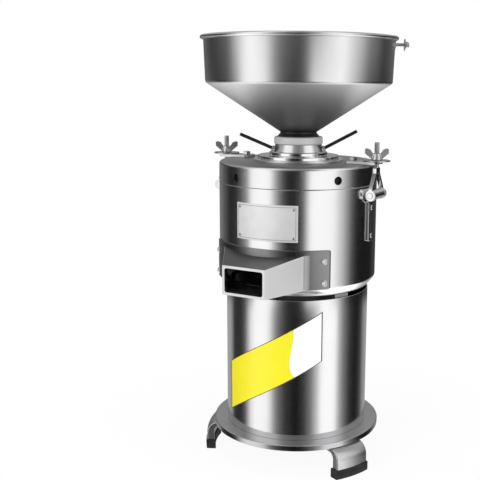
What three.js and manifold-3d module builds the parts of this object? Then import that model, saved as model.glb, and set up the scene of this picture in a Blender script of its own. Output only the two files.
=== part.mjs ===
// Upright motor driven peanut grinder: hopper, threaded neck, lid with two swing clamps,
// grinding chamber with spout, and an enclosed motor on a three-legged base.
// Millimetres, +Z up, origin on the floor under the middle of the outer box.
// Radii are measured from the spindle, azimuths from the spout towards the right-hand clamp.

import * as THREE from 'three';
import { mergeVertices, toCreasedNormals } from 'three/addons/utils/BufferGeometryUtils.js';
import Module from 'manifold-3d';

const wasm = await Module();
wasm.setup();

// Clearances
const fit = 0.3;
const runningGap = 1;
const discGap = 0.8;
const airGap = 0.5;

// How far joined shapes reach into each other, and cutters past a face
const bite = 1;

// Facets round a circle
const large = 32;
const medium = 24;
const small = 16;
const tiny = 10;

// Base, legs and shoes
const baseUnderside = 46;
const baseThickness = 10;
const baseRadius = 137;
const baseBore = 52;
const baseEdge = 1.5;
const baseRibDepth = 6;
const baseRibWidth = 7;
const baseRibInset = 14;
const baseRibAzimuths = [0, 122, 238];
const lipHeight = 4;
const lipWidth = 2.2;
const legWidth = 60;
const legThickness = 12;
const legReach = 151;
const legCurveDrop = 19;
const legTopInset = 3;
const legTabLength = 24;
const legTabThickness = 7;
const legTabFillet = 9;
const legAzimuths = { left: -65, right: 65, rear: 180 };
const shoeHeight = 15;
const shoeFloor = 5.7;
const shoeWall = 1.5;
const shoeGroove = 0.8;
const shoeGrooveHeight = 9;

// Motor
const shellRadius = 116;
const shellWall = 1.5;
const shellHeight = 226;
const shellToChamberGap = 6;
const postHeight = 42;
const postRadius = 7;
const postInset = 2;
const postCount = 4;
const bellToCapacitorGap = 2;
const bellThickness = 12;
const bellLip = 3;
const bearingBossWall = 8;
const earWidth = 26;
const earToShellGap = 2.5;
const earRise = 6;
const earDrop = 10;
const earAzimuths = [66, 186, 306];
const frameWall = 5.7;
const finDepth = 6;
const finCount = 16;
const finWidth = 3;
const statorDepth = 22;
const statorLength = 90;
const slotCount = 12;
const slotDepth = 13;
const slotWidth = 11;
const slotMouth = 4.4;
const slotLip = 2;
const windingHeight = 20;
const windingBulgeHeight = 12;
const windingBulge = 2;
const windingSlope = 4;
const windingToBore = 4;
const windingToRim = 3;
const bearingBore = 12.5;
const bearingRadius = 26;
const bearingHeight = 15;
const fanToPostGap = 10;
const fanHubRadius = 19;
const fanHeight = 22;
const fanPlate = 3;
const fanBladeCount = 8;
const fanBladeWidth = 2.5;
const fanToBellGap = 8;
const shaftFoot = 6;
const capacitorRadius = 12.5;
const capacitorHeight = 70;
const capacitorCrimp = 1.5;
const terminalOffset = 5;
const terminalHeight = 9;
const capacitorAzimuth = 120;

// Cable gland and switch, on the back of the motor shell
const glandAzimuth = 150;
const glandHeight = 30;
const glandThread = 8;
const glandFlange = 12;
const glandCap = 10;
const glandReach = 20;
const glandEase = 3;
const glandNut = 5;
const glandBore = 4;
const switchHeight = 112;
const switchWidth = 38;
const switchLength = 58;
const switchDepth = 17;
const switchCorner = 5;
const switchFaceRecess = 1;
const switchBodyWidth = 26;
const switchBodyLength = 36;
const switchBodyDepth = 14;
const rockerWidth = 15;
const rockerHalfLength = 13.4;
const rockerTilt = 12;
const rockerPocketDepth = 10.5;
const rockerSink = 2;
const rockerBackGap = 2.2;
const rockerBackHalf = 9;
const rockerEnd = 4;
const rockerEdge = 1;
const rockerDip = 1.6;
const rockerEase = 0.5;

// Grinding chamber
const chamberRadius = 127;
const chamberWall = 5;
const chamberHeight = 165;
const chamberFloor = 6;
const chamberFootRadius = 115;
const chamberTaper = 15;
const floorBossHeight = 18;
const floorBossWall = 10;
const shaftHole = 14;
const sealHeight = 11.7;
const gasketWidth = 3.7;
const gasketThickness = 3.5;
const rimLedge = 2.5;

// Spout
const mouthReach = 170;
const mouthHalfWidth = 36.8;
const mouthBottom = 8;
const mouthHeight = 45;
const chuteRootReach = 103;
const chuteRootHalfWidth = 75;
const chuteRootBottom = 14;
const chuteRootHeight = 55;
const chuteWall = 4;
const chuteCorner = 5;
const chuteOverrun = 10;
const flangeThickness = 2.2;
const flangeBottom = 14;
const flangeHeight = 60;
const flangeHalfWidth = 99.3;
const flangeCorner = 2.5;
const spoutScrewAzimuth = 46.3;
const spoutScrewInset = 9.5;
const spoutScrewLow = 17;
const spoutScrewHead = 5;
const spoutScrewHeadHeight = 3;
const spoutScrewShank = 2;
const spoutScrewDepth = 2.5;

// Lid
const lidHeight = 32.5;
const lidWall = 6;
const lidPlate = 8;
const lidShoulder = 4.5;
const lidEase = 1.35;
const lidBossWall = 12;
const lidBossDrop = 54;
const lidFillet = 4;
const seam = 0.5;
const lidHoleRadius = 6.5;
const lidHoleHeight = 12.5;
const lidHoleAzimuths = [56, -20];

// Swing clamps
const clampReach = 136.5;
const clampPivotDrop = 13;
const clampAzimuths = { left: -90, right: 90 };
const lugInner = 86;
const lugOvershoot = 4;
const lugWidth = 32;
const lugThickness = 4.5;
const lugCorner = 6;
const lugBoltReach = 97;
const lugBoltRadius = 4;
const lugBoltAcross = 11;
const lugBoltHead = 5;
const studRadius = 4;
const studTop = 29.5;
const notchClearance = 0.6;
const pinRadius = 3;
const pinHeadRadius = 5;
const pinHeadThickness = 2;
const strapWidth = 21;
const strapThickness = 3;
const strapLength = 73.5;
const knuckleHalfWidth = 17;
const knuckleRadius = 7.5;
const knuckleWeb = 12;
const eyeRadius = 8.8;
const eyeWidth = 5;
const eyeGap = 0.5;
const yokeThickness = 6;
const yokeCrownHalfWidth = 7.5;
const yokeCrownDrop = 4;
const yokeCrownHeight = 9;
const yokeShoulder = 9;
const washerRadius = 21;
const washerThickness = 2;
const wingHubRadius = 8;
const wingHubTopRadius = 6;
const wingHubHeight = 10;
const wingSpan = 18.5;
const wingRise = 18;
const wingThickness = 3;
const wingRoot = 3;
const wingEdge = 8;
const wingEase = 2;
const wingSlope = 8.5;
const wingAzimuth = 118;

// Neck, handles and collar
const throatRadius = 26.8;
const sleeveRadius = 47.5;
const neckFlangeRadius = 72.5;
const neckFlangeHeight = 3.2;
const lowerStepRadius = 65;
const lowerStepHeight = 5.6;
const upperStepRadius = 46.5;
const upperStepHeight = 5.3;
const coneFootRadius = 41;
const coneTopRadius = 37;
const stepBevel = 1;
const coneHeight = 12.2;
const handleRadius = 2.7;
const handleReach = 93.8;
const handleRoot = 37;
const handleSlopes = { right: 27.9, left: 22.9 };
const handleSeatHeight = 2.9;
const handleBossRadius = 4.4;
const handleBossLength = 6;
const handleTip = 1;
const handleAzimuths = { right: 118, left: -62 };
const collarRadius = 39;
const collarHeight = 11.4;
const collarBevel = 1.5;

// Hopper
const hopperRadius = 150.5;
const hopperConeRadius = 148;
const hopperWall = 1.5;
const hopperCylinderHeight = 69;
const hopperConeHeight = 77;
const hopperConeFoot = 28;
const beadRadius = 3;
const spigotRadius = 26.5;
const spigotDepth = 21;
const spigotFlare = 34;
const spigotFlareHeight = 7;
const rimBoltAzimuth = 118;
const rimBoltDrop = 12;
const rimBoltRadius = 2.8;
const rimBoltLength = 15;
const rimBoltHead = 5;
const rimBoltHeadHeight = 3;
const rimWasherRadius = 9.5;
const rimWasherThickness = 1.5;
const capNutAcross = 10;
const capNutLength = 6;
const capNutDome = 2;

// Grinding set
const discRadius = 65;
const discThickness = 18;
const grooveCount = 12;
const grooveWidth = 5;
const grooveDepth = 3;
const grooveSlant = 25;
const grooveLand = 7;
const grooveOverrun = 2;
const sleeveDrop = 59;
const carrierHubRadius = 24;
const carrierFlangeRadius = 60;
const carrierFlangeHeight = 10;
const carrierConeHeight = 6;
const sweeperHubRadius = 20;
const sweeperHubHeight = 16;
const sweeperBladeReach = 118;
const sweeperBladeRoot = 45;
const sweeperBladeRise = 12;
const sweeperArmEnd = 39;
const sweeperArmInset = 2;
const sweeperBladeHeight = 42;
const sweeperBladeThickness = 5;
const sweeperFloorGap = 2;
const sweeperBladeCount = 2;
const spindleRadius = 10;
const threadRadius = 8;
const screwHubRadius = 14;
const screwFlightRadius = 22;
const screwHeight = 60;
const screwTurns = 2.5;
const screwFlightWidth = 4;
const screwSteps = 26;
const shaftNutAcross = 24;
const shaftNutHeight = 11;
const shaftEnd = 2;

// Heights above the floor that follow from the sizes above
const baseTop = baseUnderside + baseThickness;
const shellTop = baseTop + shellHeight;
const chamberBottom = shellTop + shellToChamberGap;
const chamberTop = chamberBottom + chamberHeight;
const lidSeat = chamberTop + seam;
const lidTop = lidSeat + lidHeight;
const lugTop = lidTop + fit + lugThickness;
const neckSeat = lidTop + fit;
const neckTop = neckSeat + neckFlangeHeight + lowerStepHeight + upperStepHeight + coneHeight;
const collarBottom = neckTop + fit;
const collarTop = collarBottom + collarHeight;
const hopperSeat = collarTop + fit;
const hopperConeBottom = hopperSeat + spigotFlareHeight;
const hopperConeTop = hopperConeBottom + hopperConeHeight;
const beadHeight = hopperConeTop + hopperCylinderHeight;
const sleeveBottom = lidTop - sleeveDrop;
const upperDiscTop = sleeveBottom - fit;
const lowerDiscTop = upperDiscTop - discThickness - discGap;
const lowerDiscBottom = lowerDiscTop - discThickness;
const carrierTop = lowerDiscBottom - fit;
const floorTop = chamberBottom + chamberFloor;
const floorBossTop = floorTop + floorBossHeight;
const sweeperHubBottom = floorBossTop + runningGap;
const sweeperHubTop = sweeperHubBottom + sweeperHubHeight;
const carrierBottom = sweeperHubTop + fit;
const bottomBellBottom = baseTop + postHeight;
const bottomBellTop = bottomBellBottom + bellThickness;
const topBellTop = chamberBottom - earRise;
const topBellBottom = topBellTop - bellThickness;
const frameHeight = topBellBottom - bottomBellTop;
const statorBottom = bottomBellTop + (frameHeight - statorLength) / 2;
const statorTop = statorBottom + statorLength;
const lowerBearingBottom = bottomBellBottom + bellLip;
const upperBearingTop = topBellTop - bellLip;
const fanTop = bottomBellBottom - fanToBellGap;
const shaftBottom = fanTop - fanHeight - shaftFoot;
const screwBottom = lowerDiscTop + fit;
const screwTop = screwBottom + screwHeight;
const shaftNutBottom = screwTop + fit;
const shaftTop = shaftNutBottom + shaftNutHeight + shaftEnd;
const pivotHeight = chamberTop - clampPivotDrop;
const washerBottom = lugTop + fit;
const wingBottom = washerBottom + washerThickness + fit;
const glandLevel = baseTop + glandHeight;
const switchLevel = baseTop + switchHeight;

// Radii that follow from the sizes above
const lipRadius = shellRadius - shellWall - fit;
const capacitorReach = lipRadius - lipWidth - runningGap - capacitorRadius;
const bellRadius = capacitorReach - capacitorRadius - bellToCapacitorGap;
const postCircle = bellRadius - postRadius - postInset;
const fanRadius = postCircle - postRadius - fanToPostGap;
const earReach = shellRadius - shellWall - earToShellGap;
const frameRadius = bellRadius - finDepth;
const statorRadius = frameRadius - frameWall - fit;
const statorBore = statorRadius - statorDepth;
const windingInner = statorBore + windingToBore;
const windingOuter = statorRadius - windingToRim;
const hopperRimRadius = hopperRadius - hopperWall / 2 + 2 * beadRadius;
const spindleOffset = (mouthReach - hopperRimRadius) / 2;

const finishes = {
  satinSteel: { color: 0xb4b4b2, roughness: 0.35, metalness: 1 },
  polishedSteel: { color: 0xd6d6d8, roughness: 0.12, metalness: 1 },
  castAluminium: { color: 0xa9aaac, roughness: 0.45, metalness: 1 },
  collarGrey: { color: 0xcfcfcf, roughness: 0.5, metalness: 0.6 },
  blackCoating: { color: 0x0e0e10, roughness: 0.45, metalness: 0 },
  rubber: { color: 0x161617, roughness: 0.8, metalness: 0 },
  darkIron: { color: 0x4a4b4d, roughness: 0.55, metalness: 1 },
  laminatedSteel: { color: 0x6d6f73, roughness: 0.5, metalness: 1 },
  copper: { color: 0xb06a3a, roughness: 0.4, metalness: 1 },
  plasticGrey: { color: 0x8b8d90, roughness: 0.5, metalness: 0 },
  plasticRed: { color: 0xa3201c, roughness: 0.35, metalness: 0 },
  sealBrown: { color: 0x5b3a2a, roughness: 0.7, metalness: 0 },
};

// Geometry helpers

const radians = THREE.MathUtils.degToRad;

function toSolid(geometry) {
  const bare = geometry.clone();
  bare.deleteAttribute('normal');
  bare.deleteAttribute('uv');
  const merged = mergeVertices(bare);
  const corners = [];
  for (let i = 0; i < merged.index.count; i += 3) {
    const [a, b, c] = [0, 1, 2].map((k) => merged.index.getX(i + k));
    if (a !== b && b !== c && c !== a) corners.push(a, b, c);
  }
  return new wasm.Manifold(new wasm.Mesh({
    numProp: 3,
    vertProperties: merged.attributes.position.array,
    triVerts: new Uint32Array(corners),
  }));
}

function toGeometry(solid) {
  const mesh = solid.getMesh();
  const geometry = new THREE.BufferGeometry();
  geometry.setAttribute('position', new THREE.BufferAttribute(mesh.vertProperties, 3));
  geometry.setIndex(new THREE.BufferAttribute(mesh.triVerts, 1));
  return geometry;
}

function combine(method, first, rest) {
  let result = toSolid(first);
  for (const geometry of rest) result = result[method](toSolid(geometry));
  return toGeometry(result);
}

const joined = (first, ...rest) => combine('add', first, rest);
const cut = (first, ...rest) => combine('subtract', first, rest);
const common = (first, ...rest) => combine('intersect', first, rest);

// A closed profile of [radius, height] points turned about the Z axis.
function turned(profile, facets) {
  const points = profile.map(([radius, height]) => new THREE.Vector2(radius, height));
  if (THREE.ShapeUtils.area(points) < 0) points.reverse();
  const first = points.findIndex((point, i) => point.x === 0 && points.at(i - 1).x === 0);
  if (first >= 0) points.push(...points.splice(0, first));
  else points.push(points[0].clone());
  return new THREE.LatheGeometry(points, facets).rotateX(Math.PI / 2);
}

const ring = (inner, outer, bottom, top, facets) =>
  turned([[inner, bottom], [outer, bottom], [outer, top], [inner, top]], facets);

const rod = (radius, bottom, top, facets) =>
  turned([[0, bottom], [radius, bottom], [radius, top], [0, top]], facets);

// A bar from its lowest to its highest corner.
const block = (low, high) =>
  new THREE.BoxGeometry(...high.map((value, i) => value - low[i]))
    .translate(...high.map((value, i) => (value + low[i]) / 2));

// An outline of [x, y] points, with optional holes, raised along Z.
function prism(outline, bottom, top, holes = []) {
  const shape = new THREE.Shape(outline.map(([x, y]) => new THREE.Vector2(x, y)));
  for (const hole of holes) shape.holes.push(new THREE.Path(hole.map(([x, y]) => new THREE.Vector2(x, y))));
  return new THREE.ExtrudeGeometry(shape, { depth: top - bottom, bevelEnabled: false })
    .translate(0, 0, bottom);
}

// The same, with the outline in the X-Z plane and the depth along Y.
const sideways = (outline, low, high) =>
  prism(outline, -high, -low).rotateX(Math.PI / 2);

// The same, with the outline in the Y-Z plane and the depth along X.
const endways = (outline, low, high) =>
  prism(outline, low, high).rotateY(Math.PI / 2).rotateX(Math.PI / 2);

// Points along an elliptical arc, angles in degrees.
const arc = (x, y, radiusX, radiusY, from, to, steps) =>
  Array.from({ length: steps + 1 }, (_, i) => {
    const angle = radians(from + ((to - from) * i) / steps);
    return [x + radiusX * Math.cos(angle), y + radiusY * Math.sin(angle)];
  });

const circle = (radius, count) => arc(0, 0, radius, radius, 0, 360 - 360 / count, count - 1);

const hexagon = (acrossFlats) => circle(acrossFlats / Math.sqrt(3), 6);

function roundedRectangle(halfWidth, bottom, top, corner, steps) {
  const x = halfWidth - corner;
  return [
    ...arc(x, bottom + corner, corner, corner, -90, 0, steps),
    ...arc(x, top - corner, corner, corner, 0, 90, steps),
    ...arc(-x, top - corner, corner, corner, 90, 180, steps),
    ...arc(-x, bottom + corner, corner, corner, 180, 270, steps),
  ];
}

// A rod or other turned piece laid along X at a given height.
const alongX = (geometry, height) => geometry.rotateY(Math.PI / 2).translate(0, 0, height);

// The same along Y, through a given X and height.
const alongY = (geometry, x, height) => geometry.rotateX(-Math.PI / 2).translate(x, 0, height);

// Turn a piece that points along X so that it points to an azimuth.
const towards = (geometry, azimuth) => geometry.rotateZ(radians(azimuth - 90));

// A radial hole through a wall.
const radialHole = (radius, height, azimuth, from, to, facets) =>
  towards(alongX(rod(radius, from, to, facets), height), azimuth);

// A skin between outlines of equal point counts, with flat ends.
function loft(sections) {
  const count = sections[0].length;
  const positions = sections.flat(2);
  const corners = [];
  for (let s = 0; s < sections.length - 1; s += 1) {
    for (let i = 0; i < count; i += 1) {
      const [a, b] = [s * count + i, s * count + ((i + 1) % count)];
      corners.push(a, b, b + count, a, b + count, a + count);
    }
  }
  const last = (sections.length - 1) * count;
  for (let i = 1; i < count - 1; i += 1) {
    corners.push(0, i + 1, i, last, last + i, last + i + 1);
  }
  const geometry = new THREE.BufferGeometry();
  geometry.setAttribute('position', new THREE.Float32BufferAttribute(positions, 3));
  geometry.setIndex(corners);
  return geometry;
}

// Placing pieces

const grinder = new THREE.Group();
const machine = new THREE.Group();
machine.position.y = spindleOffset;
grinder.add(machine);

function facing(azimuth) {
  const group = new THREE.Group();
  group.rotation.z = radians(azimuth - 90);
  machine.add(group);
  return group;
}

function place(name, geometry, finish, parent = machine) {
  const creaseAngle = 0.5;
  const material = new THREE.MeshStandardMaterial(finishes[finish]);
  const mesh = new THREE.Mesh(toCreasedNormals(geometry, creaseAngle), material);
  mesh.name = name;
  parent.add(mesh);
  return mesh;
}

// Base ring, legs and shoes

function baseRing() {
  const plate = turned([
    [baseBore, baseUnderside],
    [baseRadius - baseEdge, baseUnderside],
    [baseRadius, baseUnderside + baseEdge],
    [baseRadius, baseTop - baseEdge],
    [baseRadius - baseEdge, baseTop],
    [lipRadius, baseTop],
    [lipRadius, baseTop + lipHeight],
    [lipRadius - lipWidth, baseTop + lipHeight],
    [lipRadius - lipWidth, baseTop],
    [baseBore, baseTop],
  ], large);
  const ribs = baseRibAzimuths.map((azimuth) => towards(block(
    [baseBore + baseEdge, -baseRibWidth / 2, baseUnderside - baseRibDepth],
    [baseRadius - baseRibInset, baseRibWidth / 2, baseUnderside + bite],
  ), azimuth));
  return joined(plate, ...ribs);
}

// The leg starts under the rim of the base ring, bulges outwards and ends in its shoe.
function leg() {
  const inner = legReach - legThickness;
  const start = baseRadius - legTopInset;
  const bottom = shoeFloor + fit;
  const tabTop = baseUnderside - fit;
  const tabBottom = tabTop - legTabThickness;
  const profile = [
    [baseRadius - legTabLength, tabTop],
    [baseRadius - legTabLength, tabBottom],
    ...arc(inner - legTabFillet, tabBottom - legTabFillet, legTabFillet, legTabFillet, 90, 0, 3),
    [inner, bottom],
    [legReach, bottom],
    ...arc(start, tabTop - legCurveDrop, legReach - start, legCurveDrop, 0, 90, 5),
  ];
  const slab = block([0, -legWidth / 2, 0], [2 * legReach, legWidth / 2, baseUnderside]);
  return common(turned(profile, 2 * large), slab);
}

function footShoe() {
  const inner = legReach - legThickness - fit - shoeWall;
  const outer = legReach + fit + shoeWall;
  const halfWidth = legWidth / 2 + fit + shoeWall;
  const body = turned([
    [inner, 0], [outer - shoeWall, 0], [outer, shoeWall],
    [outer, shoeGrooveHeight - shoeGroove], [outer - shoeGroove, shoeGrooveHeight],
    [outer, shoeGrooveHeight + shoeGroove], [outer, shoeHeight], [inner, shoeHeight],
  ], 2 * large);
  const pocket = common(
    ring(inner + shoeWall, outer - shoeWall, shoeFloor, shoeHeight + bite, 2 * large),
    block([0, -halfWidth + shoeWall, 0], [2 * outer, halfWidth - shoeWall, 2 * shoeHeight]),
  );
  const slab = block([0, -halfWidth, 0], [2 * outer, halfWidth, shoeHeight]);
  return cut(common(body, slab), pocket);
}

place('base_ring', baseRing(), 'castAluminium');
for (const [side, azimuth] of Object.entries(legAzimuths)) {
  const group = facing(azimuth);
  place(`leg_${side}`, leg(), 'castAluminium', group);
  place(`foot_shoe_${side}`, footShoe(), 'rubber', group);
}

// Motor

function motorShell() {
  const tube = ring(shellRadius - shellWall, shellRadius, baseTop, shellTop, large);
  const far = 2 * shellRadius;
  const near = shellRadius / 2;
  const glandHole = radialHole(glandThread + fit, glandLevel, glandAzimuth, near, far, tiny);
  const window = towards(block(
    [near, -switchBodyWidth / 2 - fit, switchLevel - switchBodyLength / 2 - fit],
    [far, switchBodyWidth / 2 + fit, switchLevel + switchBodyLength / 2 + fit],
  ), 180);
  return cut(tube, glandHole, window);
}

function motorFrame() {
  const tip = frameRadius + finDepth;
  const half = finWidth / 2;
  const outline = Array.from({ length: finCount }, (_, i) => {
    const middle = (360 * i) / finCount;
    return [[frameRadius, -2 * half], [tip, -half], [tip, half], [frameRadius, 2 * half]]
      .map(([radius, offset]) => {
        const angle = radians(middle) + offset / radius;
        return [radius * Math.cos(angle), radius * Math.sin(angle)];
      });
  }).flat();
  const bore = circle(statorRadius + fit, medium);
  return prism(outline, bottomBellTop, topBellBottom, [bore]);
}

// Laminated ring with open slots for the windings.
function statorCore() {
  const half = slotWidth / 2;
  const mouth = slotMouth / 2;
  const bore = Array.from({ length: slotCount }, (_, i) => {
    const middle = (360 * i) / slotCount;
    return [
      [statorBore, -mouth], [statorBore + slotLip, -half],
      [statorBore + slotDepth, -half], [statorBore + slotDepth, half],
      [statorBore + slotLip, half], [statorBore, mouth],
      [statorBore, (Math.PI * statorBore) / slotCount],
    ].map(([radius, offset]) => {
      const angle = radians(middle) + offset / radius;
      return [radius * Math.cos(angle), radius * Math.sin(angle)];
    });
  }).flat();
  return prism(circle(statorRadius, medium), statorBottom, statorTop, [bore]);
}

// The end of the windings bulges away from the stator: sign +1 upwards, -1 downwards.
function winding(face, sign) {
  const bulge = face + sign * windingBulgeHeight;
  const end = face + sign * windingHeight;
  return turned([
    [windingInner, face],
    [windingOuter, face],
    [windingOuter + windingBulge, bulge],
    [windingOuter - windingSlope, end],
    [windingInner + windingSlope, end],
    [windingInner - windingBulge, bulge],
  ], small);
}

function bottomBell() {
  const pocket = bearingRadius + fit;
  const bossTop = lowerBearingBottom + bearingHeight;
  const plate = turned([
    [shaftHole, bottomBellBottom],
    [bellRadius, bottomBellBottom],
    [bellRadius, bottomBellTop],
    [pocket + bearingBossWall, bottomBellTop],
    [pocket + bearingBossWall, bossTop],
    [pocket, bossTop],
    [pocket, lowerBearingBottom],
    [shaftHole, lowerBearingBottom],
  ], small);
  const posts = Array.from({ length: postCount }, (_, i) => {
    const azimuth = ((i + 0.5) * 360) / postCount;
    return towards(
      rod(postRadius, baseTop, bottomBellTop - bite, tiny).translate(postCircle, 0, 0),
      azimuth,
    );
  });
  return joined(plate, ...posts);
}

function topBell() {
  const pocket = bearingRadius + fit;
  const bossBottom = upperBearingTop - bearingHeight - bellLip;
  const plate = turned([
    [shaftHole, topBellTop],
    [bellRadius, topBellTop],
    [bellRadius, topBellBottom],
    [pocket + bearingBossWall, topBellBottom],
    [pocket + bearingBossWall, bossBottom],
    [pocket, bossBottom],
    [pocket, upperBearingTop],
    [shaftHole, upperBearingTop],
  ], small);
  const ears = earAzimuths.map((azimuth) => towards(block(
    [bellRadius - earWidth / 2, -earWidth / 2, topBellTop - earDrop],
    [earReach, earWidth / 2, chamberBottom],
  ), azimuth));
  return joined(plate, ...ears);
}

function capacitor() {
  const crimp = capacitorCrimp;
  const top = baseTop + capacitorHeight;
  const can = turned([
    [0, baseTop],
    [capacitorRadius, baseTop],
    [capacitorRadius, top],
    [capacitorRadius - crimp, top],
    [capacitorRadius - crimp, top - crimp],
    [0, top - crimp],
  ], small);
  const terminals = [-1, 1].map((side) => block(
    [-crimp / 2, side * terminalOffset - crimp, top - crimp - bite],
    [crimp / 2, side * terminalOffset + crimp, top + terminalHeight],
  ));
  return joined(can, ...terminals);
}

place('motor_shell', motorShell(), 'polishedSteel');
place('motor_frame', motorFrame(), 'castAluminium');
place('stator_core', statorCore(), 'laminatedSteel');
place('winding_top', winding(statorTop, 1), 'copper');
place('winding_bottom', winding(statorBottom, -1), 'copper');
place('motor_bottom_bell', bottomBell(), 'castAluminium');
place('motor_top_bell', topBell(), 'castAluminium');
for (const [name, bottom] of [
  ['bearing_lower', lowerBearingBottom],
  ['bearing_upper', upperBearingTop - bearingHeight],
]) {
  const bore = bearingBore + fit;
  place(name, ring(bore, bearingRadius, bottom, bottom + bearingHeight, small), 'polishedSteel');
}
place('capacitor', capacitor(), 'plasticGrey', facing(capacitorAzimuth)).position.x =
  capacitorReach;

// Cable gland and switch

function cableGland() {
  const wallInside = shellRadius - shellWall;
  const flatInside = wallInside * Math.cos(Math.PI / large);
  const nutFace = Math.sqrt(flatInside ** 2 - glandFlange ** 2) - fit;
  return alongX(turned([
    [glandBore, nutFace - 2 * glandNut],
    [glandThread, nutFace - 2 * glandNut],
    [glandThread, nutFace - glandNut],
    [glandFlange, nutFace - glandNut],
    [glandFlange, nutFace],
    [glandThread, nutFace],
    [glandThread, shellRadius + fit],
    [glandFlange, shellRadius + fit],
    [glandFlange, shellRadius + glandNut],
    [glandCap, shellRadius + glandNut],
    [glandCap, shellRadius + glandReach - glandEase],
    [glandThread, shellRadius + glandReach],
    [glandBore, shellRadius + glandReach],
  ], tiny), glandLevel);
}

const rockerFace = shellRadius + switchDepth;

function switchHousing() {
  const low = switchLevel - switchLength / 2;
  const cover = endways(
    roundedRectangle(switchWidth / 2, low, low + switchLength, switchCorner, 2),
    shellRadius - switchCorner, rockerFace,
  );
  const shellSeat = rod(shellRadius + fit, low - bite, low + switchLength + bite, 2 * large);
  const body = block(
    [shellRadius - switchBodyDepth, -switchBodyWidth / 2, switchLevel - switchBodyLength / 2],
    [rockerFace - switchFaceRecess, switchBodyWidth / 2, switchLevel + switchBodyLength / 2],
  );
  const pocketHalf = rockerHalfLength + runningGap;
  const pocket = block(
    [rockerFace - rockerPocketDepth, -rockerWidth / 2 - fit, switchLevel - pocketHalf],
    [rockerFace + bite, rockerWidth / 2 + fit, switchLevel + pocketHalf],
  );
  return cut(joined(cut(cover, shellSeat), body), pocket);
}

// The rocker pivots about its own origin and rests tilted to its off position.
function switchRocker() {
  const back = rockerPocketDepth - rockerSink - rockerBackGap;
  const outline = [
    [-back, -rockerBackHalf],
    [rockerEdge, -rockerHalfLength],
    [rockerEnd, -rockerHalfLength + rockerEase],
    [rockerDip, 0],
    [rockerEnd, rockerHalfLength - rockerEase],
    [rockerEdge, rockerHalfLength],
    [-back, rockerBackHalf],
  ];
  return sideways(outline, -rockerWidth / 2, rockerWidth / 2);
}

place('cable_gland', cableGland(), 'blackCoating', facing(glandAzimuth));
const rearGroup = facing(180);
place('switch_housing', switchHousing(), 'blackCoating', rearGroup);
const rocker = place('switch_rocker', switchRocker(), 'plasticRed', rearGroup);
rocker.position.set(rockerFace - rockerSink, 0, switchLevel);
rocker.rotation.y = radians(rockerTilt);

// Grinding chamber and spout

// Sections of the chute as [x, y, z] rings: the mouth, its root at the wall, and inside it.
function chute(inset, mouth, root) {
  const corner = chuteCorner - inset / 2;
  const section = (x) => {
    const share = (mouthReach - x) / (mouthReach - chuteRootReach);
    const mix = (a, b) => a + (b - a) * share;
    const bottom = chamberBottom + mix(mouthBottom, chuteRootBottom) + inset;
    const height = mix(mouthHeight, chuteRootHeight) - 2 * inset;
    const halfWidth = mix(mouthHalfWidth, chuteRootHalfWidth) - inset;
    return roundedRectangle(halfWidth, bottom, bottom + height, corner, 2)
      .map(([y, z]) => [x, y, z]);
  };
  return loft([section(root), section(mouth)]);
}

const spoutScrewLevels = [
  chamberBottom + flangeBottom + spoutScrewInset,
  chamberBottom + flangeBottom + flangeHeight - spoutScrewLow,
];

function spoutScrewHoles(inner, outer) {
  return [-1, 1].flatMap((side) => spoutScrewLevels.map((level) =>
    radialHole(spoutScrewShank + fit, level, 90 + side * spoutScrewAzimuth, inner, outer, tiny)));
}

function chamber() {
  const outer = chamberRadius;
  const inner = chamberRadius - chamberWall;
  const ledge = lidSeat - gasketThickness;
  const bossRadius = bearingRadius + fit + floorBossWall;
  const sealPocket = floorBossTop - sealHeight - fit;
  const body = turned([
    [shaftHole, chamberBottom],
    [chamberFootRadius, chamberBottom],
    [outer, chamberBottom + chamberTaper],
    [outer, chamberTop],
    [inner + rimLedge, chamberTop],
    [inner + rimLedge, ledge],
    [inner, ledge],
    [inner, chamberBottom + chamberTaper + bite],
    [chamberFootRadius - chamberWall + bite, floorTop],
    [bossRadius, floorTop],
    [bossRadius, floorBossTop],
    [bearingRadius + fit, floorBossTop],
    [bearingRadius + fit, sealPocket],
    [shaftHole, sealPocket],
  ], large);
  const window = chute(chuteWall, outer + bite, chuteRootReach - 2 * chuteOverrun)
    .rotateZ(-Math.PI / 2);
  const holes = spoutScrewHoles(outer - spoutScrewDepth - fit, outer + bite)
    .map((hole) => hole.rotateZ(-Math.PI / 2));
  return cut(body, window, ...holes);
}

function spout() {
  const inner = chamberRadius + fit;
  const low = chamberBottom + flangeBottom;
  const band = ring(inner, inner + flangeThickness, low, low + flangeHeight, large);
  const outline = roundedRectangle(flangeHalfWidth, low, low + flangeHeight, flangeCorner, 2);
  const flange = common(band, endways(outline, inner / 3, 2 * inner));
  const duct = cut(
    chute(0, mouthReach, chuteRootReach - chuteOverrun),
    rod(inner, chamberBottom - bite, chamberTop, large),
  );
  const hollow = chute(chuteWall, mouthReach + chuteOverrun, chuteRootReach - 2 * chuteOverrun);
  const holes = spoutScrewHoles(inner - bite, inner + 2 * flangeThickness);
  return cut(joined(flange, duct), hollow, ...holes);
}

// A domed head on a short shank that points outwards along X.
function spoutScrew(level) {
  const seat = chamberRadius + fit + flangeThickness + fit;
  return alongX(turned([
    [0, chamberRadius - spoutScrewDepth],
    [spoutScrewShank, chamberRadius - spoutScrewDepth],
    [spoutScrewShank, seat],
    [spoutScrewHead, seat],
    [spoutScrewHead, seat + spoutScrewHeadHeight / 3],
    [spoutScrewHead / 2, seat + spoutScrewHeadHeight],
    [0, seat + spoutScrewHeadHeight],
  ], tiny), level);
}

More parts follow.
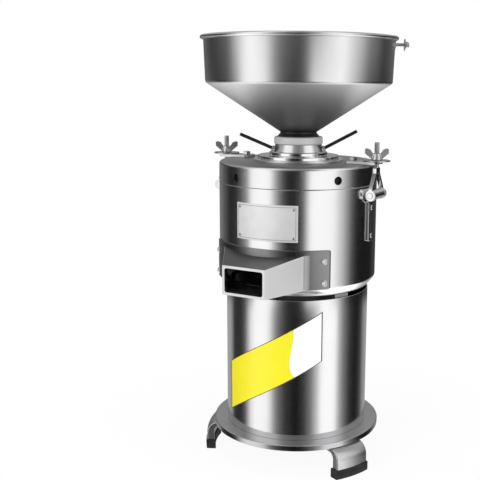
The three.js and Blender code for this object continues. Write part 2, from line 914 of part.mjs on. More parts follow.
place('chamber', chamber(), 'polishedSteel');
place('shaft_seal', ring(
  bearingBore + fit, bearingRadius, floorBossTop - sealHeight, floorBossTop, small,
), 'sealBrown');
place('spout', spout(), 'satinSteel', facing(0));
for (const [side, sign] of [['left', -1], ['right', 1]]) {
  const group = facing(sign * spoutScrewAzimuth);
  spoutScrewLevels.forEach((level, i) => {
    place(`spout_screw_${side}_${i + 1}`, spoutScrew(level), 'polishedSteel', group);
  });
}

// Lid and gasket

function lid() {
  const outer = chamberRadius;
  const inner = outer - lidWall;
  const bore = sleeveRadius + fit;
  const boss = bore + lidBossWall;
  const ceiling = lidTop - lidPlate;
  const cover = turned([
    [inner, lidSeat],
    [outer, lidSeat],
    [outer, lidTop - lidShoulder],
    [outer - lidEase, lidTop - lidEase],
    [outer - lidShoulder, lidTop],
    [bore, lidTop],
    [bore, lidTop - lidBossDrop],
    [boss, lidTop - lidBossDrop],
    [boss, ceiling - lidFillet],
    [boss + lidFillet, ceiling],
    [inner - lidFillet, ceiling],
    [inner, ceiling - lidFillet],
  ], large);
  const pinHoles = lidHoleAzimuths.map((azimuth) => radialHole(
    lidHoleRadius, lidSeat + lidHoleHeight, azimuth, inner - lidWall, outer + bite, small,
  ));
  const boltHoles = Object.values(clampAzimuths).map((azimuth) => towards(
    rod(lugBoltRadius + fit, ceiling - bite, lidTop + bite, tiny).translate(lugBoltReach, 0, 0),
    azimuth,
  ));
  return cut(cover, ...pinHoles, ...boltHoles);
}

function lidGasket() {
  const outer = chamberRadius - chamberWall + rimLedge - fit;
  return ring(outer - gasketWidth, outer, lidSeat - gasketThickness, lidSeat, large);
}

place('lid', lid(), 'polishedSteel');
place('lid_gasket', lidGasket(), 'rubber');

// Swing clamps, each built on the right-hand side and turned to its own side

function clampLug() {
  const outer = clampReach + lugOvershoot;
  const half = lugWidth / 2;
  const notch = studRadius + notchClearance;
  const bar = prism([
    [lugInner, -half + lugCorner], [lugInner + lugCorner, -half], [outer, -half],
    [outer, -notch], ...arc(clampReach, 0, notch, notch, 270, 90, 6), [outer, notch],
    [outer, half], [lugInner + lugCorner, half], [lugInner, half - lugCorner],
  ], lidTop + fit, lugTop);
  const hole = rod(lugBoltRadius + fit, lidTop, lugTop + bite, tiny).translate(lugBoltReach, 0, 0);
  return cut(bar, hole);
}

function lugBolt() {
  const seat = lugTop + fit;
  const head = prism(hexagon(lugBoltAcross), seat, seat + lugBoltHead);
  return joined(head, rod(lugBoltRadius, lidTop - lidPlate, seat + bite, tiny))
    .translate(lugBoltReach, 0, 0);
}

function clampStrap() {
  const wall = chamberRadius + fit;
  const top = pivotHeight;
  const plate = block(
    [wall, -strapWidth / 2, top - strapLength],
    [wall + strapThickness, strapWidth / 2, top],
  );
  const web = block(
    [wall, -knuckleHalfWidth, top - knuckleWeb],
    [clampReach - pinRadius - fit - bite, knuckleHalfWidth, top],
  );
  const barrel = alongY(
    rod(knuckleRadius, -knuckleHalfWidth, knuckleHalfWidth, small), clampReach, pivotHeight,
  );
  const bore = alongY(
    rod(pinRadius + fit, -2 * knuckleHalfWidth, 2 * knuckleHalfWidth, tiny),
    clampReach, pivotHeight,
  );
  return cut(joined(plate, web, barrel), bore);
}

const eyeInner = knuckleHalfWidth + eyeGap;
const eyeOuter = eyeInner + eyeWidth;

function clampPin() {
  const end = eyeOuter + eyeGap;
  return alongY(turned([
    [0, -end - pinHeadThickness], [pinHeadRadius, -end - pinHeadThickness],
    [pinHeadRadius, -end], [pinRadius, -end], [pinRadius, end],
    [pinHeadRadius, end], [pinHeadRadius, end + pinHeadThickness], [0, end + pinHeadThickness],
  ], tiny), clampReach, pivotHeight);
}

// A forked bolt: two eyes on the pin, two legs that lean in to a crown, and the stud.
function swingBolt() {
  const crownTop = lidTop - yokeCrownDrop;
  const crownFoot = crownTop - yokeCrownHeight;
  const shoulder = pivotHeight + yokeShoulder;
  const slit = yokeCrownHalfWidth - eyeWidth;
  const fork = endways([
    [-eyeOuter, pivotHeight], [-eyeInner, pivotHeight], [-eyeInner, shoulder],
    [-slit, crownFoot], [slit, crownFoot], [eyeInner, shoulder], [eyeInner, pivotHeight],
    [eyeOuter, pivotHeight], [eyeOuter, shoulder], [yokeCrownHalfWidth, crownFoot],
    [yokeCrownHalfWidth, crownTop], [-yokeCrownHalfWidth, crownTop],
    [-yokeCrownHalfWidth, crownFoot], [-eyeOuter, shoulder],
  ], clampReach - yokeThickness / 2, clampReach + yokeThickness / 2);
  const eyes = [[-eyeOuter, -eyeInner], [eyeInner, eyeOuter]].map(([low, high]) =>
    alongY(rod(eyeRadius, low, high, small), clampReach, pivotHeight));
  const stud = rod(studRadius, crownTop - bite, lugTop + studTop, tiny).translate(clampReach, 0, 0);
  const bore = alongY(
    rod(pinRadius + fit, -2 * eyeOuter, 2 * eyeOuter, tiny), clampReach, pivotHeight,
  );
  return cut(joined(fork, ...eyes, stud), bore);
}

function clampWasher() {
  const top = washerBottom + washerThickness;
  return ring(studRadius + fit, washerRadius, washerBottom, top, small);
}

function wingNut() {
  const top = wingBottom + wingHubHeight;
  const hub = turned([
    [0, wingBottom], [wingHubRadius, wingBottom], [wingHubTopRadius, top], [0, top],
  ], small);
  const tip = wingBottom + wingRise;
  const wing = (side) => [
    [side * wingRoot, wingBottom + bite],
    [side * wingHubRadius, wingBottom + bite],
    [side * wingSpan, tip - wingEdge],
    [side * wingSpan, tip - wingEase],
    [side * (wingSpan - wingEase), tip],
    [side * (wingSpan - wingSlope), tip - wingEase],
    [side * wingRoot, top - bite],
  ];
  const wings = [-1, 1].map((side) =>
    sideways(wing(side), -wingThickness / 2, wingThickness / 2));
  const bore = rod(studRadius + fit, wingBottom - bite, top + bite, tiny);
  return cut(joined(hub, ...wings), bore);
}

for (const [side, azimuth] of Object.entries(clampAzimuths)) {
  const group = facing(azimuth);
  place(`clamp_lug_${side}`, clampLug(), 'satinSteel', group);
  place(`lug_bolt_${side}`, lugBolt(), 'polishedSteel', group);
  place(`clamp_strap_${side}`, clampStrap(), 'satinSteel', group);
  place(`clamp_pin_${side}`, clampPin(), 'polishedSteel', group);
  place(`swing_bolt_${side}`, swingBolt(), 'satinSteel', group);
  place(`clamp_washer_${side}`, clampWasher(), 'polishedSteel', group).position.x = clampReach;
  const nut = place(`wing_nut_${side}`, wingNut(), 'polishedSteel', group);
  nut.position.x = clampReach;
  nut.rotation.z = radians(wingAzimuth - azimuth);
}

// Neck, handles and collar

const handleSeat = neckSeat + neckFlangeHeight + lowerStepHeight + upperStepHeight
  + handleSeatHeight;
const handleLength = (side) =>
  (handleReach - handleRoot) / Math.cos(radians(handleSlopes[side]));

// Lay a piece that is built along Z on the sloping line of a handle.
const onHandleLine = (geometry, side) =>
  geometry.rotateY(radians(90 - handleSlopes[side])).translate(handleRoot, 0, handleSeat);

function adjustingNeck() {
  const flangeTop = neckSeat + neckFlangeHeight;
  const lowerStepTop = flangeTop + lowerStepHeight;
  const upperStepTop = lowerStepTop + upperStepHeight;
  const body = turned([
    [throatRadius, sleeveBottom],
    [sleeveRadius, sleeveBottom],
    [sleeveRadius, neckSeat],
    [neckFlangeRadius, neckSeat],
    [neckFlangeRadius, flangeTop],
    [lowerStepRadius, flangeTop],
    [lowerStepRadius, lowerStepTop - stepBevel],
    [lowerStepRadius - stepBevel, lowerStepTop],
    [upperStepRadius, lowerStepTop],
    [upperStepRadius, upperStepTop],
    [coneFootRadius, upperStepTop],
    [coneTopRadius, neckTop],
    [throatRadius, neckTop],
  ], medium);
  const bosses = Object.entries(handleAzimuths).map(([side, azimuth]) => towards(
    onHandleLine(rod(handleBossRadius, -fit, handleBossLength, tiny), side), azimuth,
  ));
  const sockets = Object.entries(handleAzimuths).map(([side, azimuth]) => towards(
    onHandleLine(rod(handleRadius + fit, -fit, handleLength(side), tiny), side), azimuth,
  ));
  return cut(joined(body, ...bosses), ...sockets);
}

function handle(side) {
  const length = handleLength(side);
  return onHandleLine(turned([
    [0, 0], [handleRadius, 0], [handleRadius, length - handleTip],
    [handleRadius - handleTip, length], [0, length],
  ], tiny), side);
}

function hopperCollar() {
  return turned([
    [spigotRadius + fit, collarBottom],
    [collarRadius, collarBottom],
    [collarRadius, collarTop - collarBevel],
    [collarRadius - collarBevel, collarTop],
    [spigotRadius + fit, collarTop],
  ], medium);
}

place('adjusting_neck', adjustingNeck(), 'polishedSteel');
for (const [side, azimuth] of Object.entries(handleAzimuths)) {
  place(`handle_${side}`, handle(side), 'blackCoating', facing(azimuth));
}
place('hopper_collar', hopperCollar(), 'collarGrey');

// Hopper

const rimBoltLevel = beadHeight + beadRadius - rimBoltDrop;
const hopperRadiusAt = (height) => hopperConeRadius
  + ((hopperRadius - hopperConeRadius) * (height - hopperConeTop)) / hopperCylinderHeight;

// One skin from the spigot to the rolled rim and back down the inside.
function hopper() {
  const spigotInner = spigotRadius - hopperWall;
  const beadX = hopperRadius - hopperWall / 2 + beadRadius;
  const shell = turned([
    [spigotInner, hopperSeat - spigotDepth],
    [spigotRadius, hopperSeat - spigotDepth],
    [spigotRadius, hopperSeat],
    [spigotFlare, hopperSeat],
    [hopperConeFoot, hopperConeBottom],
    [hopperConeRadius, hopperConeTop],
    [hopperRadius, beadHeight - beadRadius],
    ...arc(beadX, beadHeight, beadRadius, beadRadius, -120, 150, 5),
    [hopperRadius - hopperWall, beadHeight - beadRadius],
    [hopperConeRadius - hopperWall, hopperConeTop + hopperWall / 2],
    [hopperConeFoot - hopperWall, hopperConeBottom + hopperWall / 2],
    [spigotInner, hopperConeBottom - hopperWall],
  ], large);
  const hole = radialHole(
    rimBoltRadius + fit, rimBoltLevel, rimBoltAzimuth,
    hopperConeRadius / 2, 2 * hopperRadius, tiny,
  );
  return cut(shell, hole);
}

const rimBoltWall = hopperRadiusAt(rimBoltLevel);
const rimWasherSeat = rimBoltWall + rimBoltLength;

function rimBolt() {
  const headFace = (rimBoltWall - hopperWall) * Math.cos(Math.PI / large) - 2 * fit;
  const end = rimWasherSeat + rimWasherThickness + capNutLength / 2;
  return alongX(turned([
    [0, headFace - rimBoltHeadHeight],
    [rimBoltHead, headFace - rimBoltHeadHeight],
    [rimBoltHead, headFace],
    [rimBoltRadius, headFace],
    [rimBoltRadius, end],
    [0, end],
  ], tiny), rimBoltLevel);
}

function capNut() {
  const seat = rimWasherSeat + rimWasherThickness + fit;
  const dome = seat + capNutLength;
  const body = turned([
    [0, seat], [capNutAcross / 2, seat], [capNutAcross / 2, dome - capNutDome],
    [capNutAcross / 3, dome - capNutDome / 4], [0, dome],
  ], tiny);
  const socket = rod(rimBoltRadius + fit, seat - bite, seat + capNutLength / 2 + fit, tiny);
  return alongX(cut(body, socket), rimBoltLevel);
}

place('hopper', hopper(), 'satinSteel');
const rimGroup = facing(rimBoltAzimuth);
place('hopper_bolt', rimBolt(), 'polishedSteel', rimGroup);
place('hopper_washer', alongX(ring(
  rimBoltRadius + fit, rimWasherRadius, rimWasherSeat, rimWasherSeat + rimWasherThickness, small,
), rimBoltLevel), 'polishedSteel', rimGroup);
place('hopper_cap_nut', capNut(), 'polishedSteel', rimGroup);

// Grinding set on the motor shaft

function motorShaft() {
  return turned([
    [0, shaftBottom],
    [spindleRadius, shaftBottom],
    [spindleRadius, lowerBearingBottom],
    [bearingBore, lowerBearingBottom],
    [bearingBore, carrierTop],
    [spindleRadius, carrierTop],
    [spindleRadius, screwTop],
    [threadRadius, screwTop],
    [threadRadius, shaftTop],
    [0, shaftTop],
  ], small);
}

function coolingFan() {
  const bottom = fanTop - fanHeight;
  const bore = spindleRadius + fit;
  const plate = turned([
    [bore, bottom], [fanHubRadius, bottom], [fanHubRadius, fanTop - fanPlate],
    [fanRadius, fanTop - fanPlate], [fanRadius, fanTop], [bore, fanTop],
  ], small);
  const blades = Array.from({ length: fanBladeCount }, (_, i) => towards(block(
    [fanHubRadius - bite, -fanBladeWidth / 2, bottom],
    [fanRadius - bite, fanBladeWidth / 2, fanTop - fanPlate / 2],
  ), (360 * i) / fanBladeCount));
  return joined(plate, ...blades);
}

function sweeper() {
  const bladeBottom = floorTop + sweeperFloorGap;
  const bladeTop = bladeBottom + sweeperBladeHeight;
  const bevel = chamberTaper - chamberFloor;
  const hub = ring(bearingBore + fit, sweeperHubRadius, sweeperHubBottom, sweeperHubTop, small);
  const armRoot = bearingBore + sweeperArmInset;
  const armBottom = sweeperHubBottom + sweeperArmInset;
  const armTop = sweeperHubTop - bite;
  const arm = [
    [armRoot, armBottom],
    [sweeperBladeRoot, armBottom],
    [sweeperBladeRoot, bladeBottom],
    [sweeperBladeReach - bevel - sweeperFloorGap, bladeBottom],
    [sweeperBladeReach, bladeBottom + bevel],
    [sweeperBladeReach, bladeTop],
    [sweeperBladeRoot + sweeperBladeRise, bladeTop],
    [sweeperArmEnd, armTop],
    [armRoot, armTop],
  ];
  const half = sweeperBladeThickness / 2;
  const blades = Array.from({ length: sweeperBladeCount }, (_, i) =>
    towards(sideways(arm, -half, half), 90 + (360 * i) / sweeperBladeCount));
  return joined(hub, ...blades);
}

function discCarrier() {
  const bore = bearingBore + fit;
  const flangeBottom = carrierTop - carrierFlangeHeight;
  return turned([
    [bore, carrierBottom],
    [carrierHubRadius, carrierBottom],
    [carrierHubRadius, flangeBottom - carrierConeHeight],
    [carrierFlangeRadius, flangeBottom],
    [carrierFlangeRadius, carrierTop],
    [bore, carrierTop],
  ], small);
}

// A grinding disc with slanted feed grooves cut in one face, which end before its rim.
function grindingDisc(bore, bottom, face, grooveStart) {
  const top = bottom + discThickness;
  const body = ring(bore, discRadius, bottom, top, medium);
  const grooves = Array.from({ length: grooveCount }, (_, i) => {
    const groove = block(
      [0, -grooveWidth / 2, face - grooveDepth],
      [discRadius - grooveLand - grooveStart, grooveWidth / 2, face + grooveDepth],
    );
    groove.rotateZ(radians(grooveSlant)).translate(grooveStart, 0, 0);
    return towards(groove, (360 * i) / grooveCount);
  });
  return cut(body, ...grooves);
}

// A helical flight of square section round a hub.
function feedScrew() {
  const inner = screwHubRadius - bite;
  const flightHeight = screwHeight - screwFlightWidth;
  const section = (i) => {
    const share = i / screwSteps;
    const angle = share * screwTurns * 2 * Math.PI;
    const bottom = screwBottom + share * flightHeight;
    const corners = [
      [inner, bottom], [inner, bottom + screwFlightWidth],
      [screwFlightRadius, bottom + screwFlightWidth], [screwFlightRadius, bottom],
    ];
    return corners.map(([radius, z]) => [radius * Math.cos(angle), radius * Math.sin(angle), z]);
  };
  const flight = loft(Array.from({ length: screwSteps + 1 }, (_, i) => section(i)));
  const hub = ring(spindleRadius + fit, screwHubRadius, screwBottom, screwTop, small);
  return joined(hub, flight);
}

place('motor_shaft', motorShaft(), 'laminatedSteel');
place('rotor_core', ring(
  bearingBore + fit, statorBore - airGap, statorBottom, statorTop, small,
), 'laminatedSteel');
place('cooling_fan', coolingFan(), 'plasticGrey');
place('sweeper', sweeper(), 'satinSteel');
place('disc_carrier', discCarrier(), 'satinSteel');
place('lower_grinding_disc', grindingDisc(
  spindleRadius + fit, lowerDiscBottom, lowerDiscTop, screwHubRadius + fit,
), 'darkIron');
place('upper_grinding_disc', grindingDisc(
  throatRadius, upperDiscTop - discThickness, upperDiscTop - discThickness, throatRadius - grooveOverrun,
), 'darkIron');
place('feed_screw', feedScrew(), 'satinSteel');
place('shaft_nut', cut(
  prism(hexagon(shaftNutAcross), shaftNutBottom, shaftNutBottom + shaftNutHeight),
  rod(threadRadius + fit, shaftNutBottom - bite, shaftTop, small),
), 'polishedSteel');

export default grinder;
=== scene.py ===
import functools
import math
from math import radians

import bmesh
import bpy
from mathutils import Matrix, Vector


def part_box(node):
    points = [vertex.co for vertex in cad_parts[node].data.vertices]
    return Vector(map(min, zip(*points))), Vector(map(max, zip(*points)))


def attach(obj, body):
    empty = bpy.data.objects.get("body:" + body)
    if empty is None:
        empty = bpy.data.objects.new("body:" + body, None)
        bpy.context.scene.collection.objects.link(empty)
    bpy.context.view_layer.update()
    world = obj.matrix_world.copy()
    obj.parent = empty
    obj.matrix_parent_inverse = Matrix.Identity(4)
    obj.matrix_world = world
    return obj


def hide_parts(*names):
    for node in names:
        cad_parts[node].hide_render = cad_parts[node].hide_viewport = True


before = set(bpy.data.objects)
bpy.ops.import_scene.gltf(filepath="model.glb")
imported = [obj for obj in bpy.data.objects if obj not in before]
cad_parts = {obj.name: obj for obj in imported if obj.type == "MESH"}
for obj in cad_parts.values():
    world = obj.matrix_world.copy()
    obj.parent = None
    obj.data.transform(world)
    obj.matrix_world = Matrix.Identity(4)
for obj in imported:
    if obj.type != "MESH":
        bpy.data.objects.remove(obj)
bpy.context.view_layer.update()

# Shapes are in millimetres until to_mesh(), with radii from the spindle and heights from the floor
MM = 0.001
BEVEL_ANGLE = 38
# Round walls: the largest slope of a face, and how squarely it has to face the spindle
UPRIGHT, CONCENTRIC = 0.02, 0.996
shell_low, shell_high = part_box("motor_shell")
AXIS = Vector(((shell_low.x + shell_high.x) / 2, (shell_low.y + shell_high.y) / 2, 0.0))
ROUND = 160

# Azimuths run from the spout (0) to the right clamp (90), in degrees
SWITCH_AZIMUTH = 180
GLAND_AZIMUTH, GLAND_LEVEL = 150, 86
SEAM_AZIMUTH = 207
RIB_AZIMUTHS = (0, 122, 238)
LEG_AZIMUTHS = {"left": -65, "right": 65, "rear": 180}
CLAMP_AZIMUTHS = {"left": -90, "right": 90}
LID_HOLE_AZIMUTHS, LID_HOLE_LEVEL = (56, -20), 466
SPOUT_SCREW_AZIMUTH, SPOUT_SCREW_LEVELS = 46.3, (311.5, 345.0)
WING_AZIMUTH = 118
HOPPER_BOLT_AZIMUTH, HOPPER_BOLT_LEVEL = 118, 668.6
LUG_BOLT_REACH = 97

# Camera, at the photograph's angle
CAMERA_AZIMUTH = 28.0
CAMERA_DISTANCE = 1.371
CAMERA_HEIGHT = 0.613
CAMERA_PITCH = 10.66
CAMERA_ROLL = 0.5
CAMERA_LENS = 63.75
CAMERA_SHIFT = -0.12


# Shapes: (points, faces) in millimetres

def arc(x, y, radius_x, radius_y, start, end, steps):
    return [
        (x + radius_x * math.cos(radians(start + (end - start) * i / steps)),
         y + radius_y * math.sin(radians(start + (end - start) * i / steps)))
        for i in range(steps + 1)
    ]


def filleted(points, steps=4):
    """A closed outline; a point with a third number gets a fillet of that radius."""
    result = []
    count = len(points)
    for i, point in enumerate(points):
        if len(point) < 3 or point[2] <= 0:
            result.append((point[0], point[1]))
            continue
        here = Vector(point[:2])
        before = Vector(points[i - 1][:2]) - here
        after = Vector(points[(i + 1) % count][:2]) - here
        angle = before.angle(after)
        reach = point[2] / math.tan(angle / 2)
        reach = min(reach, 0.49 * before.length, 0.49 * after.length)
        radius = reach * math.tan(angle / 2)
        middle = (before.normalized() + after.normalized()).normalized()
        centre = here + middle * (radius / math.sin(angle / 2))
        first = here + before.normalized() * reach - centre
        last = here + after.normalized() * reach - centre
        turn = first.angle_signed(last)
        for k in range(steps + 1):
            spoke = first.copy()
            spoke.rotate(Matrix.Rotation(-turn * k / steps, 2))
            result.append(tuple(centre + spoke))
    return result


def lathe(profile, steps=ROUND):
    count = len(profile)
    points = []
    for s in range(steps):
        angle = 2 * math.pi * s / steps
        for radius, height in profile:
            points.append((radius * math.cos(angle), radius * math.sin(angle), height))
    faces = []
    for s in range(steps):
        a, b = s * count, ((s + 1) % steps) * count
        for i in range(count):
            j = (i + 1) % count
            if profile[i][0] < 1e-6 and profile[j][0] < 1e-6:
                continue
            faces.append((a + i, b + i, b + j, a + j))
    return points, faces


def loft(sections, ends=True):
    count = len(sections[0])
    points = [tuple(p) for section in sections for p in section]
    faces = []
    for s in range(len(sections) - 1):
        for i in range(count):
            a, b = s * count + i, s * count + (i + 1) % count
            faces.append((a, b, b + count, a + count))
    if ends:
        faces.append(tuple(reversed(range(count))))
        faces.append(tuple(range((len(sections) - 1) * count, len(sections) * count)))
    return points, faces


def prism(outline, bottom, top):
    return loft([[(x, y, bottom) for x, y in outline], [(x, y, top) for x, y in outline]])


def rotation(angle, axis):
    return Matrix.Rotation(radians(angle), 4, axis)


def moved(shape, matrix):
    return [tuple(matrix @ Vector(p)) for p in shape[0]], shape[1]


def shifted(shape, x, y, z):
    return moved(shape, Matrix.Translation((x, y, z)))


def turned_to(shape, azimuth):
    """From pointing along X to pointing to an azimuth."""
    return moved(shape, rotation(azimuth - 90, "Z"))


def along_x(shape, height=0.0):
    return moved(shape, Matrix.Translation((0, 0, height)) @ rotation(90, "Y"))


def along_y(shape, x=0.0, height=0.0):
    return moved(shape, Matrix.Translation((x, 0, height)) @ rotation(-90, "X"))


def sideways(outline, low, high):
    """An outline of (x, z) with its depth along Y."""
    return loft([[(x, low, z) for x, z in outline], [(x, high, z) for x, z in outline]])


def endways(outline, low, high):
    """An outline of (y, z) with its depth along X."""
    return loft([[(low, y, z) for y, z in outline], [(high, y, z) for y, z in outline]])


def block(low, high):
    (x0, y0, z0), (x1, y1, z1) = low, high
    return prism([(x0, y0), (x1, y0), (x1, y1), (x0, y1)], z0, z1)


def dome(radius, seat, rise, last=90, steps=6):
    """The crown of a rivet or a nut as (radius, height), from its seat up."""
    return arc(0, seat, radius, rise, 0, last, steps)


def together(*shapes):
    points, faces = [], []
    for shape in shapes:
        start = len(points)
        points.extend(shape[0])
        faces.extend(tuple(i + start for i in face) for face in shape[1])
    return points, faces


def rod(radius, bottom, top, edge=0.0, steps=32):
    outline = [(0, bottom), (radius, bottom, edge), (radius, top, edge), (0, top)]
    return lathe(filleted(outline), steps)


def tube(inner, outer, bottom, top, edge=0.0, steps=32):
    return lathe(filleted([
        (inner, bottom, edge), (outer, bottom, edge), (outer, top, edge), (inner, top, edge),
    ], 3), steps)


def hexagon(across):
    radius = across / math.sqrt(3)
    return [(radius * math.cos(radians(60 * i)), radius * math.sin(radians(60 * i))) for i in range(6)]


def thread(radius, pitch, depth, bottom, top, steps=24):
    """A rod with a helical thread."""
    sections = []
    count = int((top - bottom) / pitch * 6)
    for k in range(count + 1):
        height = bottom + (top - bottom) * k / count
        ends = min(1.0, (top - height) / pitch, (height - bottom) / pitch)
        section = []
        for s in range(steps):
            angle = 2 * math.pi * s / steps
            wave = 0.5 - 0.5 * math.cos(2 * math.pi * (height / pitch) - angle)
            reach = radius - depth * (1 - ends) - depth * wave * ends
            section.append((reach * math.cos(angle), reach * math.sin(angle), height))
        sections.append(section)
    return loft(sections)


def rounded_box(half_width, bottom, top, corner, steps=5):
    x = half_width - corner
    return (
        arc(x, bottom + corner, corner, corner, -90, 0, steps)
        + arc(x, top - corner, corner, corner, 0, 90, steps)
        + arc(-x, top - corner, corner, corner, 90, 180, steps)
        + arc(-x, bottom + corner, corner, corner, 180, 270, steps)
    )


# Meshes and pieces

def in_scene(name, data):
    thing = bpy.data.objects.new(name, data)
    bpy.context.scene.collection.objects.link(thing)
    return thing


def to_mesh(name, shape, azimuth):
    points, faces = turned_to(shape, azimuth)
    mesh = bpy.data.meshes.new(name)
    mesh.from_pydata([(Vector(p) * MM + AXIS) for p in points], [], faces)
    work = bmesh.new()
    work.from_mesh(mesh)
    bmesh.ops.remove_doubles(work, verts=work.verts, dist=1e-7)
    bmesh.ops.recalc_face_normals(work, faces=work.faces)
    work.to_mesh(mesh)
    work.free()
    return mesh


def apply_modifiers(thing):
    graph = bpy.context.evaluated_depsgraph_get()
    mesh = bpy.data.meshes.new_from_object(thing.evaluated_get(graph))
    old = thing.data
    thing.modifiers.clear()
    thing.data = mesh
    bpy.data.meshes.remove(old)


def boolean(thing, shape, azimuth, operation="DIFFERENCE"):
    tool = in_scene("tool", to_mesh("tool", shape, azimuth))
    modifier = thing.modifiers.new("cut", "BOOLEAN")
    modifier.operation = operation
    modifier.solver = "EXACT"
    modifier.object = tool
    bpy.context.view_layer.update()
    apply_modifiers(thing)
    mesh = tool.data
    bpy.data.objects.remove(tool)
    bpy.data.meshes.remove(mesh)


def true_round_normals(mesh):
    """Upright walls round the spindle shade as one smooth round, also at the rims of their holes."""
    normals = [Vector(corner.vector) for corner in mesh.corner_normals]
    for polygon in mesh.polygons:
        face = polygon.normal
        if abs(face.z) > UPRIGHT:
            continue
        for loop in polygon.loop_indices:
            point = mesh.vertices[mesh.loops[loop].vertex_index].co
            spoke = Vector((point.x - AXIS.x, point.y - AXIS.y, 0)).normalized()
            side = face.dot(spoke)
            if abs(side) > CONCENTRIC:
                normals[loop] = spoke * (1 if side > 0 else -1)
    mesh.normals_split_custom_set(normals)


def add(name, shape, body, slot, material, azimuth=90, replaces=None, bevel=0.0, segments=3,
        cuts=(), meets=(), sharp=32, round_walls=False):
    """A piece on a body; cutters in meets are intersected with it, those in cuts are cut away."""
    thing = in_scene(name, to_mesh(name, shape, azimuth))
    for cutter in meets:
        boolean(thing, cutter, azimuth, "INTERSECT")
    for cutter in cuts:
        boolean(thing, cutter, azimuth)
    if bevel:
        modifier = thing.modifiers.new("bevel", "BEVEL")
        modifier.width = bevel * MM
        modifier.segments = segments
        modifier.limit_method = "ANGLE"
        modifier.angle_limit = radians(BEVEL_ANGLE)
        bpy.context.view_layer.update()
        apply_modifiers(thing)
    mesh = thing.data
    mesh.polygons.foreach_set("use_smooth", [True] * len(mesh.polygons))
    mesh.set_sharp_from_angle(angle=radians(sharp))
    if round_walls:
        true_round_normals(mesh)
    else:
        modifier = thing.modifiers.new("weighted_normals", "WEIGHTED_NORMAL")
        modifier.keep_sharp = True
        modifier.weight = 80
    mesh.materials.clear()
    mesh.materials.append(material)
    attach(thing, body)
    if replaces:
        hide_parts(replaces)
    return thing


def cover_top(thing, material, steepness, level=0.0):
    """A second material for faces turned up, with a normal of more than this height, above a level."""
    thing.data.materials.append(material)
    for polygon in thing.data.polygons:
        if polygon.normal.z > steepness and polygon.center.z > level:
            polygon.material_index = 1


# Materials

LEAST_ROUGH = 0.03
ROUGH_FOOT_EDGE = 0.004
COAT_ROUGH = 0.06
METAL_BUMP, PLASTIC_BUMP = 0.0001, 0.0002
# Scales of noise: along the lines of turned and of rolled metal, of smears and of dust
AROUND_SCALE, ALONG_SCALE = 2.5, 18.0
SMEAR_SCALES, DUST_SCALE = (30.0, 30.0, 8.0), 34.0


